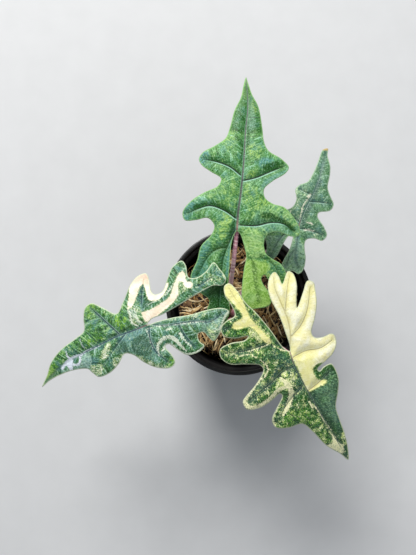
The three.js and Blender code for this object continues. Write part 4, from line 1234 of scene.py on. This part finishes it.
def ribbons(name, seed, count, width, thick, **course):
    """A piece of flat, crinkled strips that narrow to both ends. Its course says how they lie."""
    rng = random.Random(seed)
    heap = Heap()
    for _ in range(count):
        path = smooth_path(strand(rng, **course), step=1.0)
        share = np.linspace(0, 1, len(path))
        across = rng.uniform(*width) * np.clip(5 * share * (1 - share), 0.12, 1) ** 0.6
        across = across * (1 + 0.18 * np.sin(share * rng.uniform(10, 30)))
        heap.add(*sweep(path, across, thick, 6, rng.uniform(-2, 2)), rng.random())
    return heap.piece(name)


def mix_strips():
    """Broad, shredded husk and bark strips over the mix."""
    return ribbons("mix_strips", 21, 300, width=(0.7, 2.1), thick=0.32, spread=47, length=(7, 19),
                   wander=0.12, lift=(-2.0, 1.8), wave=(0.1, 0.8))


def mix_straw():
    """Long, pale, dry strands that lie on top."""
    return ribbons("mix_straw", 5, 85, width=(0.35, 0.8), thick=0.2, spread=46, length=(10, 26),
                   wander=0.1, lift=(1.2, 2.8), wave=(0.2, 0.9))


def mix_fibres(count=380, raised_every=6):
    """Fine curly fibres, some of which stand up or hang over the mix's edge."""
    rng = random.Random(33)
    heap = Heap()
    for i in range(count):
        path = strand(rng, 49, length=(6, 20), wander=0.35, lift=(0.2, 2.6), wave=(0.2, 1.4))
        if i % raised_every == 0:
            path[:, 2] += np.linspace(0, 1, len(path)) ** 2 * rng.uniform(-7, 5)
        path = smooth_path(path, step=1.2)
        heap.add(*sweep(path, rng.uniform(0.1, 0.24), rng.uniform(0.09, 0.18), 4), rng.random())
    for side in (-128, -119, -111, -103, -96, -88, -80, -66):
        hang_fibre(heap, rng, math.radians(side + rng.uniform(-3, 3)))
    return heap.piece("mix_fibres")


def hang_fibre(heap, rng, side):
    """A root that runs on the mix to its front brink and hangs over it."""
    brink = 38
    path = []
    for radius, lift in ((30, 1.2), (36, 1.0), (40, 1.4), (43.5, 0.4), (45.5, -5), (46.5, -12)):
        angle = side + rng.gauss(0, 0.03)
        held = min(radius, brink)
        height = mix_height(held * math.cos(angle), held * math.sin(angle))
        path.append((radius * math.cos(angle), radius * math.sin(angle), height + lift))
    path = smooth_path(path, step=1.0)
    narrowing = 1 - 0.75 * np.linspace(0, 1, len(path))
    heap.add(*sweep(path, 0.75 * narrowing, 0.5 * narrowing, 6), 0.75 + 0.25 * rng.random())


# Materials

class Term:
    """A node's output. Plain arithmetic with it adds math nodes."""

    def __init__(self, shader, socket):
        self.shader, self.socket = shader, socket

    def __add__(self, other):
        return self.shader.math("ADD", self, other)

    def __mul__(self, other):
        return self.shader.math("MULTIPLY", self, other)

    def __sub__(self, other):
        return self.shader.math("SUBTRACT", self, other)

    def __rsub__(self, other):
        return self.shader.math("SUBTRACT", other, self)

    def __truediv__(self, other):
        return self.shader.math("DIVIDE", self, other)

    __radd__, __rmul__ = __add__, __mul__


class Shader:
    """One material's nodes, built with short calls. Numbers, colours and terms all serve as inputs."""

    def __init__(self, name):
        self.colour = None
        self.material = bpy.data.materials.new(name)
        self.material.use_nodes = True
        self.tree = self.material.node_tree
        self.surface = self.tree.nodes["Principled BSDF"]

    def feed(self, socket, value):
        if isinstance(value, Term):
            self.tree.links.new(value.socket, socket)
        else:
            socket.default_value = value

    def node(self, kind, output, inputs=None, **settings):
        """A new node's output. Its inputs are given by the names or numbers of its sockets."""
        made = self.tree.nodes.new(kind)
        for key, value in settings.items():
            setattr(made, key, value)
        for key, value in (inputs or {}).items():
            self.feed(made.inputs[key], value)
        return Term(self, made.outputs[output])

    def number(self, key):
        return self.node("ShaderNodeAttribute", "Fac", attribute_name=key)

    def vector(self, key):
        return self.node("ShaderNodeAttribute", "Vector", attribute_name=key)

    def object_place(self):
        return self.node("ShaderNodeTexCoord", "Object")

    def math(self, operation, a, b=0.0):
        return self.node("ShaderNodeMath", 0, {0: a, 1: b}, operation=operation)

    def lowest(self, a, b):
        return self.math("MINIMUM", a, b)

    def highest(self, *values):
        result = values[0]
        for value in values[1:]:
            result = self.math("MAXIMUM", result, value)
        return result

    def stretch(self, vector, *factors):
        return self.node("ShaderNodeVectorMath", 0, {0: vector, 1: factors}, operation="MULTIPLY")

    def shift(self, vector, amount):
        return self.node("ShaderNodeVectorMath", 0, {0: vector, 1: (amount, amount, amount)}, operation="ADD")

    def length(self, vector):
        return self.node("ShaderNodeVectorMath", "Value", {0: vector}, operation="LENGTH")

    def along(self, vector):
        """The first part of a vector."""
        return self.node("ShaderNodeSeparateXYZ", "X", {0: vector})

    def step(self, value, low, high, to_low=0.0, to_high=1.0):
        """A smooth step from low to high."""
        ends = {"Value": value, "From Min": low, "From Max": high, "To Min": to_low, "To Max": to_high}
        return self.node("ShaderNodeMapRange", "Result", ends, interpolation_type="SMOOTHSTEP")

    def noise(self, vector, scale, detail=2.0, roughness=0.5):
        grain = {"Vector": vector, "Scale": scale, "Detail": detail, "Roughness": roughness}
        return self.node("ShaderNodeTexNoise", "Fac", grain)

    def winding(self, vector, scale, width):
        """Thin winding lines, where smooth noise passes its middle value."""
        off = self.math("ABSOLUTE", self.noise(vector, scale, 2, 0.6) - 0.5)
        return self.step(off, width, 0.4 * width)

    def mix(self, factor, a, b):
        """A colour between a and b. The factor is held between 0 and 1."""
        return self.node("ShaderNodeMix", 2, {0: factor, 6: a, 7: b}, data_type="RGBA")

    def paint(self, factor, tone):
        """Lay a tone over the colour so far, where and as strongly as the factor says."""
        self.colour = self.mix(factor, self.colour, tone)

    def between(self, factor, a, b):
        """A number between a and b."""
        return self.node("ShaderNodeMix", 0, {0: factor, 2: a, 3: b}, data_type="FLOAT")

    def ramp(self, value, *stops):
        """A colour ramp through stops of a place and a colour."""
        result = self.node("ShaderNodeValToRGB", "Color", {"Fac": value})
        points = result.socket.node.color_ramp.elements
        for index, (place, colour) in enumerate(stops):
            point = points[index] if index < 2 else points.new(place)
            point.position, point.color = place, colour
        return result

    def finish(self, roughness, height=None, distance=0.0, strength=0.8):
        """The material, with bumps as high as the distance where there is a height."""
        self.feed(self.surface.inputs["Base Color"], self.colour)
        self.feed(self.surface.inputs["Roughness"], roughness)
        if height is not None:
            bumps = {"Height": height, "Distance": distance, "Strength": strength}
            self.feed(self.surface.inputs["Normal"], self.node("ShaderNodeBump", "Normal", bumps))
        return self.material


def leaf_inputs(s):
    """What a leaf's look depends on: the numbers stored in its mesh, its markings and several noises."""
    stored = ("edge", "midrib", "vein", "reached", "rib", "dome", "groove", "tipward", "under")
    at = SimpleNamespace(**{key: s.number(key) for key in (*stored, *DEPTH_KINDS, *MARKING_SOFTNESS)})
    at.flat, at.flow = s.vector("flat"), s.vector("flow")
    at.broad, at.patch = s.noise(at.flat, 0.12), s.noise(at.flat, 0.31)
    at.blotch, at.grain = s.noise(at.flat, 0.62, 3, 0.62), s.noise(at.flat, 1.15, 2, 0.6)
    at.streaks = s.noise(s.stretch(at.flow, 1, 0.3, 1), 0.8, 3, 0.6)
    at.bands = s.noise(s.stretch(at.flow, 1, 0.14, 1), 0.42)
    return at


def leaf_material(name):
    """Mottled leaf tissue with its markings, fine veins, main veins and pale margin."""
    look = SimpleNamespace(**{key: linear(*value) if isinstance(value, tuple) else value
                              for key, value in PALETTES[name].items()})
    s = Shader(f"leaf_{name}")
    at = leaf_inputs(s)
    for layer in (leaf_tissue, leaf_shades, leaf_flecks, leaf_pale_marks):
        layer(s, look, at)
    cream = leaf_cream(s, look, at)
    leaf_side_veins(s, look, at, cream)
    leaf_midrib(s, look, at)
    s.paint(s.step(at.edge, 0.9, 0.35, 0, 0.8), look.margin)
    s.paint(at.tip, linear(186, 160, 100))
    s.paint(0.75 * at.under, look.under)

    crease = s.step(at.level, 0.1, 0.9, 0.6, 0.05)
    height = 0.6 * at.grain + 0.8 * at.blotch + 0.4 * at.streaks + s.step(at.vein, 0.1, 0.6, 0, crease)
    roughness = s.between(cream, s.step(at.grain, 0.35, 0.65, 0.5, 0.34), 0.48)
    s.surface.inputs["Specular IOR Level"].default_value = 0.35
    return s.finish(roughness, height, 0.0006)


def leaf_tissue(s, look, at):
    """Light and dark mottled tissue: limier, smooth and painted sheen areas, cooler ones partly painted
    reflection.
    """
    # Painted light and shade on the fine relief: dome tops a little lighter, the hollows between them a
    # little darker. The ramp's top tone, shine, is a painted highlight.
    tissue = (0.15 * at.patch + 0.2 * at.blotch + 0.3 * at.streaks + 0.35 * at.grain
              + look.banding * (at.bands - 0.5) + s.step(at.dome, 0, 0.9, -0.03, 0.01))
    green = s.ramp(tissue, (0.39, look.dark), (0.47, look.base), (0.54, look.light), (0.63, look.shine))
    lime = s.ramp(tissue, (0.38, look.base), (0.48, look.lime), (0.62, look.lime_light))
    patchy = s.step(0.4 * at.blotch + 0.6 * at.patch, 0.34, 0.62)
    warm = s.highest(s.step(at.broad, 0.5, 0.64, 0, look.warm), at.lime * patchy,
                     s.step(at.edge, 3.5, 0.6, 0, look.edge_lime))
    # The teal marks are partly painted reflection of bluish light, partly the leaf's own bluish tone.
    cool = s.highest(look.cool * s.step(at.broad, 0.48, 0.36), 0.8 * at.teal)
    cool = cool * s.step(at.streaks, 0.38, 0.6, 0.4, 1.1)
    s.colour = s.mix(cool, s.mix(warm, green, lime), look.teal)
    # Painted sheen: patches of pale blue-green highlight in the shine colour.
    s.paint(at.frost * s.step(at.blotch, 0.36, 0.6, 0.15, 0.85), look.shine)
    even = s.ramp(tissue, (0.38, linear(110, 160, 44)), (0.48, linear(154, 196, 92)),
                  (0.58, linear(180, 214, 122)))
    s.paint(0.8 * at.smooth, even)


def leaf_shades(s, look, at):
    """Painted shade beside the veins and on their shaded flanks, dark fine-vein lines and deep green marks.
    """
    # Partly painted shade in the vein valleys, partly the leaf's own darker green there: the dusk colour
    # along the veins.
    beside = s.step(s.lowest(at.vein, at.midrib), look.shade_width, 0.5, 0, look.shade)
    beside = beside * s.step(at.blotch, 0.3, 0.6, 0.4, 1) * s.step(at.level, 0.1, 0.9, 1, 0.05)
    s.paint(beside, look.dusk)
    line = s.step(at.groove, 0.5, 0.05, 0, look.hatch)
    line = line * s.step(at.patch, 0.42, 0.56, 0.4, 1) * s.step(at.level, 0.1, 0.9, 1, 0.4)
    s.paint(line, look.dark)
    # Painted shade: deep green on the tipward side of each side vein, where the slope turns away from the
    # light.
    flank = s.step(at.tipward, 0.5, 0.9, 0, look.flank)
    flank = flank * s.step(at.blotch, 0.62, 0.42, 0.3, 1) * s.step(at.lime, 0.2, 1.2, 1, 0.2)
    # The deep marks, mostly painted shade, share the deep green of the shaded flanks.
    s.paint(s.highest(flank, at.deep * s.step(at.grain, 0.62, 0.42, 0.45, 1)), look.deep)


def leaf_flecks(s, look, at):
    """Small painted highlight specks and dark specks, and pale flecks: dots with a halo, and marbling in
    winding lines.
    """
    mottled = 1 - s.highest(at.smooth, 0.8 * at.deep)
    # Painted highlights: light specks in the shine colour, the glints of the fine bumps.
    light = s.step(s.noise(s.stretch(at.flow, 1, 0.6, 1), 1.5, 1), 0.55, 0.72, 0, look.specks)
    s.paint(light * mottled, look.shine)
    dark = s.step(s.noise(s.shift(s.stretch(at.flow, 1, 0.5, 1), 40), 1.2), 0.46, 0.3, 0, look.specks)
    s.paint(dark * mottled, look.dark)

    coarse = s.noise(s.shift(at.flat, 30), 0.26, 1)
    s.paint(s.step(coarse, 0.47, 0.38, 0, 0.25 * look.marbling), look.dark)
    density = at.fleck + look.flecks - 1.2 * at.calm + look.marbling * (4 * coarse - 2.1)
    spread = 0.45 * at.patch + 0.55 * s.noise(s.shift(at.flat, 90), 1.1, 3, 0.7)
    reach = spread + 0.08 * density - 0.62
    lines = s.highest(s.winding(at.flat, 0.42, 0.035), s.winding(s.shift(at.flat, 60), 0.8, 0.045))
    lines = look.marbling * lines * s.step(reach, -0.1, -0.04)
    dots = 0.7 * (s.noise(s.stretch(at.flow, 1, 0.6, 1), 1.5, 3, 0.7) - 0.5) + reach
    s.paint(mottled * s.step(dots, -0.06, 0.01, 0, 0.55), look.lime_light)
    tone = s.mix(s.step(at.streaks, 0.4, 0.6), look.fleck, look.fleck_light)
    s.paint(mottled * s.highest(lines, s.step(dots, 0.005, 0.04)), tone)


def leaf_pale_marks(s, look, at):
    """The drawn pale and silver markings, ragged and broken by small holes, and the drawn dark lines."""
    ragged = 2.5 * at.grain + 2.0 * at.streaks + 1.5 * at.blotch - 3.0
    holes = s.step(s.noise(s.stretch(at.flow, 1, 0.5, 1), 1.3, 2, 0.6), 0.36, 0.46, 0.3, 1)
    pale = s.mix(s.step(at.grain, 0.3, 0.5), look.fleck, look.pale)
    s.paint(holes * s.step(at.pale + ragged, -0.25, 0.4, 0, 0.95), pale)
    silver = s.mix(at.grain, linear(188, 202, 218), linear(242, 244, 252))
    s.paint(s.step(at.silver + ragged, -0.5, 0.6, 0, 0.95), silver)
    s.paint(s.step(at.line, -0.25, 0.1, 0, 0.75), look.vein)


def leaf_cream(s, look, at):
    """Cream patches with a ragged edge and a pale fringe, yellower by the veins. Gives where it is cream."""
    depth = at.cream + 1.6 * at.grain + 1.8 * at.streaks + 1.8 * at.blotch - 2.6
    s.paint(s.step(depth, -1.1, -0.2, 0, 0.45), look.fleck)
    ivory = s.mix(s.step(at.broad, 0.4, 0.6), look.cream, look.cream_light)
    ivory = s.mix(at.yellow * s.step(at.patch, 0.35, 0.6, 0.45, 0.95), ivory, linear(240, 238, 150))
    ivory = s.mix(0.7 * at.blush, ivory, linear(226, 186, 164))
    shades = ((at.vein + 4 * at.blotch, 5.2, 2.2, 0.5), (at.edge + 4 * at.blotch, 3.4, 1.8, 0.4),
              (at.grain, 0.48, 0.36, 0.35), (at.streaks, 0.47, 0.36, 0.4), (at.groove, 0.45, 0.1, 0.3))
    for value, clear, full, strength in shades:
        ivory = s.mix(s.step(value, clear, full, 0, strength), ivory, look.near_cream)
    cream = s.step(depth, -0.2, 0.35)
    s.paint(cream, ivory)
    return cream


def leaf_side_veins(s, look, at, cream):
    """A dark line on each side vein, fading at the rear and thinner outwards, with a painted highlight below
    it.
    """
    shown = s.step(at.level, 0.1, 0.9, look.lines, 0.08)
    shown = shown * s.step(s.along(at.flat), -14, 2, look.rear_lines, 1)
    # Painted highlight: a pale line on the side of each vein that faces the light.
    pale = s.step(at.tipward, 0.2, -0.2) * s.step(at.vein, 1.35, 1.0) * s.step(at.vein, 0.4, 0.65, 0, 0.8)
    pale = pale * s.step(at.reached, 0.95, 0.7) * shown
    s.paint(pale, s.mix(cream, look.shine, look.cream_light))
    relative = at.vein / s.step(at.reached, 0.4, 1.0, 0.46, 0.16)
    strength = s.between(cream, s.step(relative, 1.3, 0.7, 0, 0.92), s.step(relative, 1.9, 0.4, 0, 0.75))
    s.paint(strength * shown, s.mix(cream, look.vein, linear(186, 170, 112)))


def leaf_midrib(s, look, at):
    """The wider, greyer midrib with its pale sides. It is browner at the joint and fades near the tip."""
    off = at.midrib / (look.midrib_width * at.rib)
    s.paint(s.step(off, 1.7, 1.35) * s.step(off, 0.8, 1.1, 0, 0.3), look.shine)
    midrib = s.mix(s.step(s.length(at.flat), 12, 3, 0, 0.6), look.midrib, linear(160, 124, 112))
    fading = s.step(s.along(at.flat), look.midrib_end, look.midrib_end - 14, 0.1, 1)
    s.paint(s.step(off, 0.9, 0.6, 0, 0.92) * fading, midrib)


def stalk_material():
    """Pink-mauve stalks with fine cross bands, browner at the foot, with painted light where the blade shades
    them.
    """
    s = Shader("stalk")
    skin, share = s.vector("skin"), s.number("share")
    mottle = s.noise(s.stretch(skin, 1, 1.2, 1.2), 0.9, 3, 0.6)
    bands = s.noise(s.stretch(skin, 1, 0.2, 0.2), 0.7, 1)
    s.colour = s.mix(s.step(mottle, 0.35, 0.65), linear(214, 148, 162), linear(168, 104, 122))
    # Painted light: the stalk below its last third is made paler pink, where the blade above shades it.
    s.paint(s.step(share, 0.88, 0.62, 0, 0.95), linear(255, 196, 210))
    s.paint(s.step(bands, 0.5, 0.6, 0, 0.8), linear(250, 214, 216))
    s.paint(s.step(bands, 0.44, 0.34, 0, 0.6), linear(142, 78, 94))
    s.paint(s.step(share, 0.16, 0.02, 0, 0.8), linear(126, 110, 78))
    return s.finish(s.step(mottle, 0.3, 0.7, 0.36, 0.52), bands, 0.0003, 0.5)


def crown_material():
    """Dry brown leaf bases with an upright grain."""
    s = Shader("crown")
    grain = s.noise(s.stretch(s.object_place(), 1, 1, 0.15), 1400, 3, 0.6)
    s.colour = s.mix(grain, linear(64, 44, 32), linear(142, 104, 78))
    s.paint(0.5 * s.number("tone"), linear(166, 130, 92))
    return s.finish(0.8, grain, 0.0006)


def pot_material():
    """Black moulded plastic with faint dust."""
    s = Shader("pot")
    place = s.object_place()
    dust = s.noise(place, 55, 5, 0.6)
    s.colour = s.mix(s.step(dust, 0.5, 0.8, 0, 0.5), linear(10, 10, 11), linear(34, 32, 30))
    return s.finish(s.step(dust, 0.3, 0.7, 0.3, 0.5), s.noise(place, 1800), 0.0002, 0.25)


def mix_material(name, dark, middle, pale, scale, paler):
    """Bark and fibre: each strand has its own tone between three colours, with a lengthwise grain."""
    s = Shader(name)
    grain = s.noise(s.vector("grain"), scale, 4, 0.65)
    mottled = 0.75 * s.number("tone") + 0.9 * grain + 0.6 * s.noise(s.object_place(), 260) + paler - 0.63
    s.colour = s.mix(s.step(mottled, 0.0, 0.5), linear(*dark), linear(*middle))
    s.paint(s.step(mottled, 0.5, 1.0), linear(*pale))
    return s.finish(0.85, grain, 0.0005)


# Setting the scene

def lay_floor():
    """A plain pale floor."""
    bpy.ops.mesh.primitive_plane_add(size=6, location=(0, 0, 0))
    floor = bpy.context.object
    floor.name = "floor"
    s = Shader("floor")
    s.colour = s.mix(s.noise(s.object_place(), 40, 3), linear(196, 197, 198), linear(204, 205, 206))
    floor.data.materials.append(s.finish(0.9))


def stand_in_scene(name, data, place, aim):
    """A light or a camera at a place, turned towards its aim."""
    thing = bpy.data.objects.new(name, data)
    thing.location = place
    thing.rotation_euler = (Vector(aim) - Vector(place)).to_track_quat("-Z", "Y").to_euler()
    bpy.context.scene.collection.objects.link(thing)
    return thing


def add_light(name, place, aim, size, power, colour):
    data = bpy.data.lights.new(name, "AREA")
    data.shape = "DISK"
    data.size, data.energy, data.color = size, power, colour
    stand_in_scene(name, data, place, aim)


def set_lights():
    """A soft key light from behind, a weak fill light from the front, and a dim bluish studio."""
    add_light("key", (-0.35, 1.05, 1.25), aim=(0, 0, 0.12), size=0.8, power=33, colour=(1.0, 0.985, 0.96))
    add_light("fill", (0.5, -0.9, 1.0), aim=(0, 0, 0.1), size=1.2, power=3, colour=(0.93, 0.96, 1.0))
    world = bpy.data.worlds.new("studio")
    world.use_nodes = True
    background = world.node_tree.nodes["Background"]
    background.inputs["Color"].default_value = (0.86, 0.92, 1.0, 1)
    background.inputs["Strength"].default_value = 0.28
    bpy.context.scene.world = world


def set_camera():
    """The photograph's view: from above, six degrees off the vertical."""
    data = bpy.data.cameras.new("camera")
    data.lens = CAMERA_LENS
    bpy.context.scene.camera = stand_in_scene("camera", data, CAMERA_PLACE, CAMERA_AIM)


def place(piece, material, slot, node=None):
    """Give a piece its material, and let it stand for a CAD node. The slot is not used."""
    piece.data.materials.clear()
    piece.data.materials.append(material)
    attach(piece, "root")
    if node:
        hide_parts(node)


set_camera()
set_lights()
lay_floor()
LEAF_SLOTS = dict(back="leaf_green", left="leaf_marbled", front="leaf_half_cream", right="leaf_sage")
stalk_finish = stalk_material()
for leaf_name, slot_name in LEAF_SLOTS.items():
    place(blade(leaf_name), leaf_material(leaf_name), slot_name, f"blade_{leaf_name}")
    place(stalk(leaf_name), stalk_finish, "petiole", f"petiole_{leaf_name}")
place(crown(), crown_material(), "crown", "crown")
place(pot(), pot_material(), "pot", "pot")

# Each piece of the mix: what makes it, its finish with three colours, the grain's scale and how much paler
# it is than its tones say, and the CAD node that it stands for
MIX_PIECES = (
    (mix_bed, "crumbs", (14, 8, 4), (44, 28, 16), (92, 64, 36), 0.5, -0.15, "substrate"),
    (mix_bark, "bark", (36, 24, 14), (92, 66, 42), (156, 124, 84), 0.9, 0.0, None),
    (mix_strips, "husk", (52, 34, 16), (146, 110, 62), (224, 194, 140), 1.4, -0.05, None),
    (mix_straw, "straw", (140, 110, 68), (206, 178, 126), (244, 228, 190), 2.0, 0.2, None),
    (mix_fibres, "fibre", (92, 62, 30), (170, 130, 76), (228, 200, 146), 1.5, 0.0, None),
)
for make, *finish_values, node_name in MIX_PIECES:
    place(make(), mix_material(*finish_values), "substrate", node_name)
bpy.context.scene.view_settings.view_transform = "Standard"
